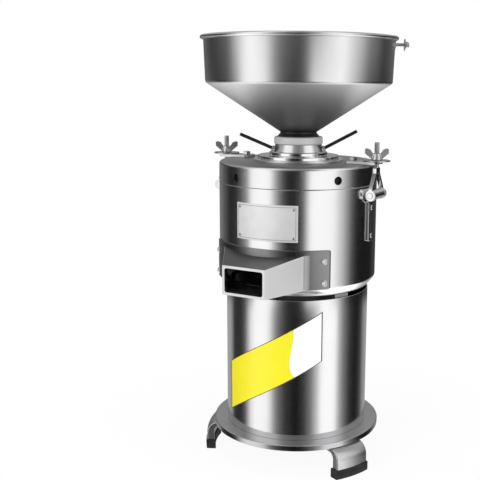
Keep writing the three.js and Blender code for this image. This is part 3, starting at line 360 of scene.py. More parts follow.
class Nodes:
    """A short way to build the nodes of a material or of the world."""

    def __init__(self, owner, empty=False):
        owner.use_nodes = True
        self.owner = owner
        self.tree = owner.node_tree
        if empty:
            self.tree.nodes.clear()

    @functools.cached_property
    def coordinates(self):
        return self.node("ShaderNodeTexCoord").outputs["Object"]

    def node(self, kind, **values):
        """A new node, with values for its inputs or its properties."""
        node = self.tree.nodes.new(kind)
        for key, value in values.items():
            if key in node.inputs:
                node.inputs[key].default_value = value
            else:
                setattr(node, key, value)
        return node

    def link(self, output, socket):
        self.tree.links.new(output, socket)

    def feed(self, socket, value):
        """An output is linked to the socket, and a constant is set on the socket itself."""
        if isinstance(value, bpy.types.NodeSocket):
            self.link(value, socket)
        else:
            socket.default_value = value

    def math(self, operation, a, b=0.0):
        node = self.node("ShaderNodeMath", operation=operation)
        self.feed(node.inputs[0], a)
        self.feed(node.inputs[1], b)
        return node.outputs[0]

    def scaled(self, vector, factors):
        node = self.node("ShaderNodeVectorMath", operation="MULTIPLY")
        self.link(vector, node.inputs[0])
        node.inputs[1].default_value = factors
        return node.outputs[0]

    def parts(self, vector):
        node = self.node("ShaderNodeSeparateXYZ")
        self.link(vector, node.inputs[0])
        return node.outputs

    def noise(self, vector, scale=1.0, detail=3.0, rough=0.6):
        node = self.node("ShaderNodeTexNoise", Scale=scale, Detail=detail, Roughness=rough)
        self.link(vector, node.inputs["Vector"])
        return node.outputs["Fac"]

    def ranged(self, value, start, end, low=0.0, high=1.0, smooth=True):
        numbers = {"From Min": start, "From Max": end, "To Min": low, "To Max": high}
        node = self.node("ShaderNodeMapRange", **numbers)
        node.interpolation_type = "SMOOTHSTEP" if smooth else "LINEAR"
        self.link(value, node.inputs["Value"])
        return node.outputs["Result"]

    def spread(self, value, low, high, start=0.3, end=0.7):
        return self.ranged(value, start, end, low, high, smooth=False)

    def blend(self, share, low, high):
        """From colour low to colour high; each is a tuple of three or an output."""
        node = self.node("ShaderNodeMix", data_type="RGBA")
        self.link(share, node.inputs["Factor"])
        ends = [socket for socket in node.inputs if socket.type == "RGBA"]
        for socket, value in zip(ends, (low, high)):
            self.feed(socket, (*value, 1.0) if isinstance(value, tuple) else value)
        return next(socket for socket in node.outputs if socket.type == "RGBA")

    def around(self):
        """Coordinates whose noise runs in lines round the spindle, with no seam."""
        offset = self.node("ShaderNodeVectorMath", operation="SUBTRACT")
        self.link(self.coordinates, offset.inputs[0])
        offset.inputs[1].default_value = AXIS
        x, y, z = self.parts(offset.outputs[0])
        squares = self.math("ADD", self.math("MULTIPLY", x, x), self.math("MULTIPLY", y, y))
        radius = self.math("MAXIMUM", self.math("SQRT", squares), MM)
        join = self.node("ShaderNodeCombineXYZ")
        along = self.math("MULTIPLY", self.math("ADD", z, radius), 1 / MM)
        sides = self.math("DIVIDE", x, radius), self.math("DIVIDE", y, radius)
        for output, socket in zip((*sides, along), join.inputs):
            self.link(output, socket)
        return join.outputs[0]

    def bump(self, height, strength, distance):
        node = self.node("ShaderNodeBump", Strength=strength, Distance=distance)
        self.link(height, node.inputs["Height"])
        return node.outputs["Normal"]

    def seen_by_eye(self):
        """1 for what the camera sees, directly or in a mirror, and 0 for what only lights."""
        path = self.node("ShaderNodeLightPath").outputs
        indirect = self.math("MAXIMUM", path["Is Glossy Ray"], path["Is Transmission Ray"])
        return self.math("MAXIMUM", path["Is Camera Ray"], indirect)

    def shine_out(self, kind, share, first, second):
        """End in an output of this kind, with a mix of two shaders."""
        mix = self.node("ShaderNodeMixShader")
        for output, socket in zip((share, first.outputs[0], second.outputs[0]), mix.inputs):
            self.link(output, socket)
        self.link(mix.outputs[0], self.node(kind).inputs["Surface"])


def metal(name, colour, tarnish, rough, swing, lines, line_size=0.4, line_bump=0.05, cloud=9.0,
          anisotropy=0.0, metallic=1.0, shade_and_rough_foot=None):
    """Metal with fine lines from turning, rolling or grinding, and with faint clouds and smears.

    The lines, line_size millimetres apart, run around or along; a cast surface has grains instead.
    The foot tuple gives the heights in metres over which painted shade clears, the dark colour of that
    painted shade and the extra roughness.
    """
    n = Nodes(bpy.data.materials.new(name))
    shader = n.tree.nodes["Principled BSDF"]
    fine = 1 / (line_size * MM)
    if lines == "around":
        grain = n.noise(n.scaled(n.around(), (AROUND_SCALE, AROUND_SCALE, 1 / line_size)))
    elif lines == "along":
        grain = n.noise(n.scaled(n.coordinates, (ALONG_SCALE, fine, fine)))
    else:
        grain = n.noise(n.coordinates, fine, detail=4.0)
    clouds = n.noise(n.coordinates, cloud, detail=4.0)
    smears = n.noise(n.scaled(n.coordinates, SMEAR_SCALES), detail=5.0, rough=0.65)
    base = n.blend(n.spread(clouds, 0.0, 1.0), colour, tarnish)
    if shade_and_rough_foot:
        low, high, foot_shade_colour, rougher = shade_and_rough_foot
        height = n.parts(n.coordinates)[2]
        # Painted shade: the colour turns darker towards the bottom of the foot's range
        base = n.blend(n.spread(height, 0.0, 1.0, low, high), foot_shade_colour, base)
    n.link(base, shader.inputs["Base Color"])
    shine = n.math("ADD", n.spread(grain, rough - swing, rough + swing),
                   n.spread(smears, -0.5 * swing, 0.7 * swing))
    if shade_and_rough_foot:
        foot = n.spread(height, rougher, 0.0, high - ROUGH_FOOT_EDGE, high)
        shine = n.math("ADD", shine, foot)
    n.link(n.math("MAXIMUM", shine, LEAST_ROUGH), shader.inputs["Roughness"])
    shader.inputs["Metallic"].default_value = metallic
    shader.inputs["Anisotropic"].default_value = anisotropy
    n.link(n.bump(grain, line_bump, METAL_BUMP), shader.inputs["Normal"])
    return n.owner


def plastic(name, colour, worn, rough, grain, grain_bump, coat=0.0, specular=0.5):
    """Moulded plastic, rubber, paper or paint with a fine grain, dusty clouds and duller smears."""
    n = Nodes(bpy.data.materials.new(name))
    shader = n.tree.nodes["Principled BSDF"]
    fine = n.noise(n.coordinates, 1 / (grain * MM), detail=2.0, rough=0.5)
    dust = n.noise(n.coordinates, DUST_SCALE, detail=5.0, rough=0.65)
    n.link(n.blend(n.spread(dust, 0.0, 1.0, 0.35, 0.75), colour, worn), shader.inputs["Base Color"])
    n.link(n.math("ADD", n.spread(fine, rough - 0.05, rough + 0.05), n.spread(dust, -0.04, 0.06)),
           shader.inputs["Roughness"])
    shader.inputs["Specular IOR Level"].default_value = specular
    if coat:
        shader.inputs["Coat Weight"].default_value = coat
        shader.inputs["Coat Roughness"].default_value = COAT_ROUGH
    n.link(n.bump(fine, grain_bump, PLASTIC_BUMP), shader.inputs["Normal"])
    return n.owner


# Colour, tarnish, roughness and its swing, lines, their size and bump, scale of clouds, anisotropy
polished = metal(
    "polished_steel", (0.84, 0.84, 0.85), (0.78, 0.78, 0.79), 0.13, 0.02, "around", 0.5, 0.02, 7.0, 0.9)
shell_steel = metal(
    "shell_steel", (0.86, 0.85, 0.85), (0.80, 0.79, 0.79), 0.13, 0.02, "around", 0.6, 0.02, 6.0, 0.9)
neck_steel = metal(
    "neck_steel", (0.88, 0.88, 0.89), (0.82, 0.82, 0.83), 0.07, 0.02, "around", 0.5, 0.02, 7.0)
lid_top_steel = metal(
    "turned_steel", (0.50, 0.50, 0.51), (0.44, 0.44, 0.45), 0.46, 0.05, "around", 0.5, 0.06, 9.0)
# The hopper darkens towards the bottom of its cone: painted shade for the dark lid mirrored there; it is
# also rougher there
hopper_steel = metal(
    "hopper_steel", (0.82, 0.82, 0.82), (0.77, 0.77, 0.77), 0.22, 0.02,
    "around", 0.6, 0.02, 8.0, shade_and_rough_foot=(0.528, 0.611, (0.10, 0.10, 0.10), 0.26))
satin = metal(
    "satin_steel", (0.76, 0.75, 0.76), (0.69, 0.69, 0.70), 0.31, 0.05, "along", 0.5, 0.06, 14.0)
# A dark copy of the satin: painted shade on the chute's top faces
painted_shade_satin = metal(
    "painted_shade_satin", (0.22, 0.215, 0.22), (0.17, 0.17, 0.175), 0.42, 0.05, "along", 0.5, 0.06, 14.0)
# Painted dark reflection: a darker satin standing for the dark surroundings the flange mirrors
flange_painted_dark_reflection = metal(
    "flange_painted_dark_reflection", (0.30, 0.295, 0.30), (0.25, 0.245, 0.25), 0.28, 0.04, "along", 0.5, 0.05, 14.0)
weld_satin = metal(
    "weld_satin", (0.42, 0.41, 0.42), (0.36, 0.36, 0.37), 0.30, 0.04, "along", 0.5, 0.05, 14.0)
clamp_steel = metal(
    "clamp_steel", (0.84, 0.84, 0.85), (0.74, 0.74, 0.75), 0.12, 0.04, "cast", 1.6, 0.10, 60.0)
nut_zinc = metal(
    "nut_zinc", (0.84, 0.84, 0.85), (0.72, 0.72, 0.73), 0.33, 0.05, "cast", 1.6, 0.12, 60.0)
bright = metal(
    "bright_zinc", (0.66, 0.66, 0.67), (0.52, 0.52, 0.53), 0.22, 0.05, "cast", 1.6, 0.12, 60.0)
collar_metal = metal(
    "collar_aluminium", (0.76, 0.76, 0.76), (0.69, 0.69, 0.69), 0.55, 0.05,
    "around", 0.35, 0.10, 12.0, metallic=0.35)
base_metal = metal(
    "turned_aluminium", (0.60, 0.60, 0.61), (0.53, 0.53, 0.54), 0.17, 0.03, "around", 0.35, 0.04, 10.0)
cast_metal = metal(
    "cast_aluminium", (0.62, 0.62, 0.63), (0.52, 0.52, 0.53), 0.42, 0.08, "cast", 1.2, 0.25, 18.0)
leg_metal = metal(
    "leg_aluminium", (0.70, 0.70, 0.71), (0.62, 0.62, 0.63), 0.30, 0.05, "cast", 0.9, 0.08, 16.0)
laminated = metal(
    "laminated_steel", (0.33, 0.34, 0.36), (0.25, 0.26, 0.28), 0.42, 0.08, "around", 0.5, 0.4, 20.0)
iron = metal(
    "cast_iron", (0.22, 0.22, 0.23), (0.15, 0.15, 0.155), 0.5, 0.08, "cast", 0.8, 0.35, 25.0)
copper = metal(
    "varnished_copper", (0.56, 0.26, 0.11), (0.38, 0.15, 0.06), 0.32, 0.08, "around", 0.9, 0.8, 30.0)
plate_metal = metal(
    "plate_aluminium", (0.82, 0.82, 0.83), (0.74, 0.74, 0.75), 0.42, 0.05,
    "along", 0.3, 0.06, 30.0, metallic=0.45)
# Colour, worn colour, roughness, grain and its bump, coat
rubber = plastic("black_rubber", (0.012, 0.012, 0.013), (0.035, 0.034, 0.034), 0.62, 0.5, 0.35,
                 specular=0.35)
black_coat = plastic("black_coating", (0.010, 0.010, 0.011), (0.022, 0.022, 0.023), 0.34, 0.8, 0.10)
black_plastic = plastic("black_plastic", (0.014, 0.014, 0.015), (0.030, 0.030, 0.031), 0.46, 0.35, 0.30)
red_plastic = plastic("red_plastic", (0.46, 0.020, 0.015), (0.36, 0.020, 0.016), 0.24, 0.6, 0.08)
grey_plastic = plastic("grey_plastic", (0.26, 0.27, 0.28), (0.20, 0.21, 0.22), 0.48, 0.5, 0.25)
seal = plastic("seal_rubber", (0.09, 0.045, 0.028), (0.06, 0.03, 0.02), 0.6, 0.5, 0.3)
sticker_edge = plastic("sticker_edge", (0.030, 0.030, 0.045), (0.06, 0.06, 0.07), 0.30, 0.5, 0.05)
sticker_yellow = plastic("sticker_yellow", (0.93, 0.84, 0.008), (0.90, 0.79, 0.006), 0.34, 1.5,
                         0.04, 0.3)
sticker_white = plastic("sticker_white", (0.95, 0.95, 0.95), (0.91, 0.91, 0.92), 0.34, 1.5, 0.04, 0.3)

# A slot with its usual material
FASTENER = ("bright_fastener", bright)
BLACK = ("black_plastic", black_plastic)

# The nodes inside the machine keep the frame's shapes
for material, names in (
    (cast_metal, "motor_frame motor_bottom_bell motor_top_bell"),
    (laminated, "stator_core rotor_core motor_shaft"),
    (copper, "winding_top winding_bottom"),
    (bright, "bearing_lower bearing_upper shaft_nut"),
    (grey_plastic, "capacitor cooling_fan"),
    (seal, "shaft_seal"),
    (rubber, "lid_gasket"),
    (satin, "sweeper disc_carrier feed_screw"),
    (iron, "lower_grinding_disc upper_grinding_disc"),
):
    for name in names.split():
        inner_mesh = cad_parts[name].data
        inner_mesh.materials.clear()
        inner_mesh.materials.append(material)


# Base ring, legs and shoes

add("base_ring_turned", lathe(filleted([
    (52, 46, 1), (136, 46, 1.0), (137, 47.4, 0.8), (137, 56, 1.4), (114.2, 56), (114.2, 60, 0.5),
    (112, 60, 0.5), (112, 56), (52, 56, 1),
])), "base", "cast_aluminium", base_metal, replaces="base_ring")
for index, azimuth in enumerate(RIB_AZIMUTHS):
    add(f"base_rib_{index + 1}", block((54, -3.5, 40.2), (123, 3.5, 46.4)), "base", "cast_aluminium",
        cast_metal, azimuth, bevel=1.0)


def across(profile, half_width, steps=14):
    """A profile of (radius, height) carried across the width of a leg."""
    offsets = [-half_width + 2 * half_width * i / steps for i in range(steps + 1)]
    return loft([
        [(math.sqrt(radius * radius - offset * offset), offset, height) for radius, height in profile]
        for offset in offsets
    ])


leg_profile = (
    [(113, 45.7), (113, 38.7)] + arc(130, 29.7, 9, 9, 90, 0, 6)
    + [(139, 6), (151, 6)] + arc(134, 26.7, 17, 19, 0, 90, 12)
)
shoe_profile = filleted([
    (137.2, 0, 0.8), (152.3, 0, 1.6), (152.8, 7.9, 0.3), (152.0, 9.0, 0.4), (152.8, 10.1, 0.3),
    (152.5, 15, 0.8), (137.2, 15, 0.8),
], 3)
for side, azimuth in LEG_AZIMUTHS.items():
    add(f"leg_{side}_bent", across(leg_profile, 30), "base", "cast_aluminium", leg_metal, azimuth,
        replaces=f"leg_{side}", bevel=1.4)
    pocket = across([(138.7, 5.7), (151.3, 5.7), (151.3, 16), (138.7, 16)], 30.3)
    add(f"shoe_{side}_moulded", across(shoe_profile, 31.8), "base", "shoe_rubber", rubber, azimuth,
        replaces=f"foot_shoe_{side}", cuts=(pocket,), bevel=0.5, segments=2)


# Motor shell, with the switch and the cable gland at its back

add("motor_shell_rolled", lathe(filleted([
    (114.5, 56, 0.3), (116, 56, 0.5), (116, 282, 0.6), (114.5, 282, 0.3),
], 3)), "base", "polished_steel", shell_steel, replaces="motor_shell", round_walls=True, cuts=(
    turned_to(block((58, -13.3, 149.7), (232, 13.3, 186.3)), SWITCH_AZIMUTH),
    turned_to(along_x(rod(8.3, 58, 232), GLAND_LEVEL), GLAND_AZIMUTH),
))

# The shell's lap seam, down the back
add("motor_shell_seam", block((115.9, -4, 56.6), (116.5, 4, 281.4)), "base", "polished_steel",
    shell_steel, SEAM_AZIMUTH, bevel=0.2)

GRIPS = 12
add("cable_gland_turned", along_x(lathe(filleted([
    (4, 104.2), (8, 104.2), (8, 109), (12, 109, 0.4), (12, 113.4, 0.4), (8, 113.4), (8, 116.3),
    (12, 116.3, 0.5), (12, 121, 0.8), (10, 121), (10, 127, 0.3), (9.6, 127.4), (9.6, 129),
    (10, 129.4, 0.3), (10, 132.5, 1.2), (8, 136, 0.8), (4, 136, 0.8),
], 3), 48), GLAND_LEVEL), "base", *BLACK, GLAND_AZIMUTH, replaces="cable_gland")
for index in range(GRIPS):
    grip = block((121.5, -1.0, -0.9), (132, 1.0, 0.5))
    to_rim = rotation(360 / GRIPS * index, "X") @ Matrix.Translation((0, 0, 10.2))
    add(f"gland_grip_{index + 1}", shifted(moved(grip, to_rim), 0, 0, GLAND_LEVEL), "base",
        *BLACK, GLAND_AZIMUTH, bevel=0.3, segments=2)

switch_pocket = block((122.5, -7.8, 153.6), (134, 7.8, 182.4))
shell_round = rod(116.3, 130, 210, steps=ROUND)
add("switch_cover", endways(rounded_box(19, 139, 197, 5), 113, 133), "base", *BLACK, SWITCH_AZIMUTH,
    replaces="switch_housing", cuts=(shell_round, switch_pocket), bevel=1.0)
add("switch_body", block((102, -13, 150), (122.4, 13, 186)), "base", *BLACK, SWITCH_AZIMUTH, bevel=0.6)
screw_profile = filleted([(0, 132.6), (2.6, 132.6), (2.6, 133.4, 0.5), (0, 134.0)], 3)
for level in (144, 192):
    screw_slot = block((133.5, -0.35, level - 3), (135, 0.35, level + 3))
    add(f"switch_screw_{level}", along_x(lathe(screw_profile, 32), level), "base", *FASTENER,
        SWITCH_AZIMUTH, cuts=(screw_slot,))

rocker_outline = filleted([
    (-6.3, -9), (1, -13.4, 0.8), (4, -12.9, 0.8), (1.6, 0, 12), (4, 12.9, 0.8), (1, 13.4, 0.8),
    (-6.3, 9),
])
rocker_place = Matrix.Translation((131, 0, 168)) @ rotation(12, "Y")
add("switch_rocker_moulded", moved(sideways(rocker_outline, -7.5, 7.5), rocker_place), "rocker",
    "red_plastic", red_plastic, SWITCH_AZIMUTH, replaces="switch_rocker", bevel=0.5)


# Grinding chamber and spout

# The chute's mouth and its root in the chamber's wall: reach, half width, bottom, height
MOUTH_REACH, MOUTH_HALF, MOUTH_BOTTOM, MOUTH_HEIGHT = 170, 36.8, 296, 45
ROOT_REACH, ROOT_HALF, ROOT_BOTTOM, ROOT_HEIGHT = 103, 75, 302, 55


def chute_section(inset, x, corner):
    share = (MOUTH_REACH - x) / (MOUTH_REACH - ROOT_REACH)
    bottom = MOUTH_BOTTOM + (ROOT_BOTTOM - MOUTH_BOTTOM) * share + inset
    height = MOUTH_HEIGHT + (ROOT_HEIGHT - MOUTH_HEIGHT) * share - 2 * inset
    half = MOUTH_HALF + (ROOT_HALF - MOUTH_HALF) * share - inset
    return [(x, y, z) for y, z in rounded_box(half, bottom, bottom + height, corner)]


chute_hollow = loft([chute_section(4, 83, 3.6), chute_section(4, 180, 3.6)])
chamber_profile = filleted([
    (14, 288), (115, 288, 3), (127, 303, 5), (127, 453, 0.8), (124.5, 453, 0.3), (124.5, 450),
    (122, 450, 0.3), (122, 304), (111, 294, 2), (36.3, 294, 2), (36.3, 312, 1), (26.3, 312, 0.3),
    (26.3, 300), (14, 300),
])
add("chamber_turned", lathe(chamber_profile), "base", "polished_steel", polished, 0,
    replaces="chamber", cuts=(chute_hollow,), round_walls=True)

FLANGE_INNER, FLANGE_OUTER = 127.3, 129.5
CHUTE_TOP_LEVEL = 0.336
chamber_round = rod(127.35, 280, 460, steps=ROUND)
chute_shape = loft([chute_section(0, 95, 1.6), chute_section(0, MOUTH_REACH, 1.6)])
chute = add("spout_chute", chute_shape, "base", "satin_steel", satin, 0, replaces="spout",
            cuts=(chamber_round, chute_hollow), bevel=0.45, segments=2)
# Painted shade: the chute's top faces get the dark copy of its satin
cover_top(chute, painted_shade_satin, 0.9, CHUTE_TOP_LEVEL)
flange_outline = rounded_box(99.3, 302, 362, 2.5)
# The flange wears the darker satin, a painted dark reflection
add("spout_flange", tube(FLANGE_INNER, FLANGE_OUTER, 302, 362, 0.25, ROUND), "base", "satin_steel",
    flange_painted_dark_reflection, 0, meets=(endways(flange_outline, 40, 250),), cuts=(chute_hollow,), round_walls=True)

WELD_RADIUS = 24.0


def weld_outline():
    """From above: a hollow round that runs from the chute's side wall into the flange."""
    run = Vector((ROOT_REACH - MOUTH_REACH, ROOT_HALF - MOUTH_HALF)).normalized()
    out = Vector((run.y, -run.x))
    start = Vector((MOUTH_REACH, MOUTH_HALF)) + out * WELD_RADIUS
    half_way = start.dot(run)
    rest = start.length_squared - (FLANGE_OUTER + WELD_RADIUS) ** 2
    centre = start + run * (-half_way - math.sqrt(half_way ** 2 - rest))
    on_wall = centre - out * WELD_RADIUS
    on_flange = centre.normalized() * FLANGE_OUTER
    first = math.degrees(math.atan2(*(on_wall - centre).yx))
    last = math.degrees(math.atan2(*(on_flange - centre).yx))
    last += 360 * round((first - last) / 360)
    curve = arc(centre.x, centre.y, WELD_RADIUS, WELD_RADIUS, first, last, 12)
    return curve + [tuple(on_flange * 0.985), tuple(on_wall - out * 2 + run * 2)]


for side, sign in (("left", -1), ("right", 1)):
    outline = [(x, sign * y) for x, y in weld_outline()]
    add(f"spout_weld_{side}", prism(outline, 302.6, 355.4), "base", "satin_steel", weld_satin, 0,
        sharp=50)


def socket_screw(seat):
    """A button head on a thin washer, with a hex socket cut by the caller."""
    return along_x(lathe(filleted([
        (0, seat - 3), (2, seat - 3), (2, seat), (5, seat, 0.2), (5, seat + 0.7, 0.2), (4.3, seat + 0.8),
        (4.1, seat + 1.7, 0.8), (2.9, seat + 3, 0.6), (0, seat + 3),
    ]), 40))


hex_socket = moved(prism(hexagon(3.6), 131.3, 134), rotation(90, "Y"))
for side, sign in (("left", -1), ("right", 1)):
    for index, level in enumerate(SPOUT_SCREW_LEVELS):
        add(f"spout_screw_{side}_{index + 1}_headed", shifted(socket_screw(129.8), 0, 0, level), "base",
            "bright_fastener", nut_zinc, SPOUT_SCREW_AZIMUTH * sign,
            replaces=f"spout_screw_{side}_{index + 1}", cuts=(shifted(hex_socket, 0, 0, level),))


# Bare nameplate and bare sticker

def curved_sheet(radius, thickness, corner, columns, rows):
    """A thin sheet bent on a wall; corner(u, v) gives its (azimuth, height)."""
    points, faces = [], []
    for depth in (0.0, thickness):
        for j in range(rows + 1):
            for i in range(columns + 1):
                azimuth, height = corner(i / columns, j / rows)
                angle = radians(azimuth - 90)
                reach = radius + depth
                points.append((reach * math.cos(angle), reach * math.sin(angle), height))
    layer = (columns + 1) * (rows + 1)

    def at(depth, j, i):
        return depth * layer + j * (columns + 1) + i

    for j in range(rows):
        for i in range(columns):
            faces.append((at(1, j, i), at(1, j, i + 1), at(1, j + 1, i + 1), at(1, j + 1, i)))
            faces.append((at(0, j, i), at(0, j + 1, i), at(0, j + 1, i + 1), at(0, j, i + 1)))
    for i in range(columns):
        faces.append((at(0, 0, i), at(0, 0, i + 1), at(1, 0, i + 1), at(1, 0, i)))
        faces.append((at(0, rows, i), at(1, rows, i), at(1, rows, i + 1), at(0, rows, i + 1)))
    for j in range(rows):
        faces.append((at(0, j, 0), at(1, j, 0), at(1, j + 1, 0), at(0, j + 1, 0)))
        faces.append((at(0, j, columns), at(0, j + 1, columns),
                      at(1, j + 1, columns), at(1, j, columns)))
    return points, faces


# Left and right edge in degrees, lower and upper edge
PLATE_LEFT, PLATE_RIGHT, PLATE_LOW, PLATE_HIGH = -18.3, 28.2, 374.5, 430.0


def plate_part(left, right, low, high):
    """The part of the plate that leaves these strips free, in degrees and in millimetres."""
    def corner(u, v):
        return (PLATE_LEFT + left + (PLATE_RIGHT - PLATE_LEFT - left - right) * u,
                PLATE_LOW + low + (PLATE_HIGH - PLATE_LOW - low - high) * v)
    return corner


add("nameplate_bare", curved_sheet(127.1, 0.7, plate_part(0, 0, 0, 0), 40, 2), "base",
    "polished_steel", plate_metal, bevel=0.15, segments=2)
for name, free in (
    ("bottom", (1.3, 1.3, 2.6, 52.3)), ("top", (1.3, 1.3, 52.3, 2.6)),
    ("left", (1.3, 44.93, 2.6, 2.6)), ("right", (44.93, 1.3, 2.6, 2.6)),
):
    add(f"nameplate_line_{name}", curved_sheet(127.75, 0.12, plate_part(*free), 30, 1), "base",
        "polished_steel", laminated)
plate_rivet = along_x(lathe([(0, 127), (2.3, 127)] + dome(2.3, 127.7, 1.2), 28))
for index, (azimuth, level) in enumerate((
    (PLATE_LEFT + 2.9, PLATE_LOW + 6.2), (PLATE_RIGHT - 2.9, PLATE_LOW + 6.2),
    (PLATE_LEFT + 2.9, PLATE_HIGH - 6.2), (PLATE_RIGHT - 2.9, PLATE_HIGH - 6.2),
)):
    add(f"nameplate_rivet_{index + 1}", shifted(plate_rivet, 0, 0, level), "base", *FASTENER, azimuth)

# The slanted sticker: azimuth, lower and upper level of its left edge, then of its right edge
STICKER_LEFT, LEFT_LOW, LEFT_HIGH = -37.3, 81.7, 164.1
STICKER_RIGHT, RIGHT_LOW, RIGHT_HIGH = 48.0, 184.6, 264.0
STICKER_RADIUS = 116.05
SPLIT_HEAD, SPLIT_BULGE, SPLIT_FOOT = 25.6, 6.0, 3.2


def sticker_part(first, last, inset=0.0):
    """first and last give the azimuth of the left and right edge at a share of the height."""
    def corner(u, v):
        azimuth = first(v) + (last(v) - first(v)) * u
        share = (azimuth - STICKER_LEFT) / (STICKER_RIGHT - STICKER_LEFT)
        bottom = LEFT_LOW + (RIGHT_LOW - LEFT_LOW) * share + inset
        top = LEFT_HIGH + (RIGHT_HIGH - LEFT_HIGH) * share - inset
        return azimuth, bottom + (top - bottom) * v
    return corner


def upright_edge(azimuth):
    return lambda v: azimuth


def colour_split(v):
    """The bent line between yellow and white: nearly upright high up, and it bulges to the left."""
    wave = math.sin(math.pi * min(1.0, max(0.0, v + 0.12)))
    return SPLIT_HEAD - SPLIT_BULGE * wave * (1 - v) + SPLIT_FOOT * (1 - v) ** 3


for name, sheet, material in (
    ("edge_line", curved_sheet(STICKER_RADIUS, 0.14, sticker_part(
        upright_edge(STICKER_LEFT), upright_edge(STICKER_RIGHT)), 72, 4), sticker_edge),
    ("yellow_field", curved_sheet(STICKER_RADIUS + 0.1, 0.12, sticker_part(
        upright_edge(STICKER_LEFT + 0.9), colour_split, 1.3), 60, 24), sticker_yellow),
    ("white_field", curved_sheet(STICKER_RADIUS + 0.1, 0.12, sticker_part(
        colour_split, upright_edge(STICKER_RIGHT - 0.9), 1.3), 30, 24), sticker_white),
):
    add(f"sticker_{name}", sheet, "base", "grey_plastic", material)


# Lid

lid_profile = filleted([
    (121, 453.5, 0.4), (127, 453.5, 0.6), (127, 486, 4.5), (60, 486, 0.2), (47.8, 486, 0.6),
    (47.8, 432, 0.4), (59.8, 432, 1), (59.8, 478, 4), (121, 478, 4),
], 5)
lid_hole = along_x(rod(6.5, 115, 128.5, steps=40), LID_HOLE_LEVEL)
lid_bore = shifted(rod(4.3, 476, 488, steps=24), LUG_BOLT_REACH, 0, 0)
lid_cuts = [turned_to(lid_hole, azimuth) for azimuth in LID_HOLE_AZIMUTHS]
lid_cuts += [turned_to(lid_bore, azimuth) for azimuth in CLAMP_AZIMUTHS.values()]
lid = add("lid_turned", lathe(lid_profile), "base", "polished_steel", polished, replaces="lid",
          cuts=lid_cuts, round_walls=True)
cover_top(lid, lid_top_steel, 0.5)
# Each hole has a black lining on its wall, painted shade inside the hole, and behind it a plug
hole_shade_lining = along_x(tube(6.3, 6.5, 121.2, 126.6, 0.05, 40), LID_HOLE_LEVEL)
hole_plug = along_x(rod(6.4, 119.6, 121.4, 0.2, 40), LID_HOLE_LEVEL)
for index, azimuth in enumerate(LID_HOLE_AZIMUTHS):
    add(f"lid_hole_shade_lining_{index + 1}", hole_shade_lining, "base", "black_coated_steel", black_coat, azimuth)
    add(f"lid_hole_plug_{index + 1}", hole_plug, "base", "seal_rubber", rubber, azimuth)


# Swing clamps

# The swing bolts' pivots: distance from the spindle and height
REACH, PIVOT = 136.5, 440.0
PIN_BORE, EYE, KNUCKLE = 3.3, 8.8, 7.5
lug_outline = (
    filleted([(86, -10, 3), (92, -16, 3), (REACH + 4, -16, 1.5), (REACH + 4, -4.6, 0.8)])
    + arc(REACH, 0, 4.6, 4.6, 270, 90, 12)
    + filleted([(REACH + 4, 4.6, 0.8), (REACH + 4, 16, 1.5), (92, 16, 3), (86, 10, 3)])
)
strap_outline = filleted([
    (-10.5, 366.5, 4), (10.5, 366.5, 4), (10.5, 426, 2), (17, 430, 2), (17, 440), (-17, 440),
    (-17, 430, 2), (-10.5, 426, 2),
], 5)
fork_outline = filleted([
    (-22.5, 440), (-17.5, 440), (-17.5, 449, 3), (-2.5, 473, 2), (2.5, 473, 2), (17.5, 449, 3),
    (17.5, 440), (22.5, 440), (22.5, 449.6, 5), (7.5, 473.5, 3), (7.5, 482, 2.5), (-7.5, 482, 2.5),
    (-7.5, 473.5, 3), (-22.5, 449.6, 5),
])
pin_bore = along_y(rod(PIN_BORE, -60, 60, steps=32), REACH, PIVOT)
knuckle = along_y(tube(PIN_BORE, KNUCKLE, -17, 17, 0.4, 40), REACH, PIVOT)
pin_profile = filleted([
    (0, -25), (5, -25, 0.9), (5, -23, 0.2), (3, -23), (3, 23), (5, 23, 0.2), (5, 25, 0.9), (0, 25),
])
strap_rivet = along_x(lathe([(0, 130), (4.0, 130)] + dome(4.0, 130.3, 1.7), 32))
hex_profile = [(0, 491), (5.0, 491), (7.4, 492.0), (7.4, 494.9), (5.2, 496.1), (0, 496.1)]
hex_crown = shifted(lathe(hex_profile, 48), LUG_BOLT_REACH, 0, 0)
hex_head = shifted(prism(hexagon(11), 491.1, 496.1), LUG_BOLT_REACH, 0, 0)
stud = together(thread(4.0, 1.25, 0.55, 481, 519.6), rod(3.4, 519, 520.3, 0.5, 24))
wing_hub = lathe(filleted([
    (4.3, 493.4, 0.2), (8, 493.4, 0.8), (7.4, 498, 1.5), (6, 503.4, 1.0), (4.3, 503.4, 0.3),
]), 40)


def wing_shape(side):
    outline = filleted([
        (side * x, z, fillet) for x, z, fillet in (
            (3, 494.6, 0), (8, 494.6, 1.0), (18.4, 503.2, 2.5), (18.5, 509.4, 2.2),
            (16.2, 511.4, 2.0), (10.0, 509.4, 3.0), (5.4, 502.6, 1.0), (3, 502.4, 0),
        )
    ])
    return sideways(outline, -1.5, 1.5)


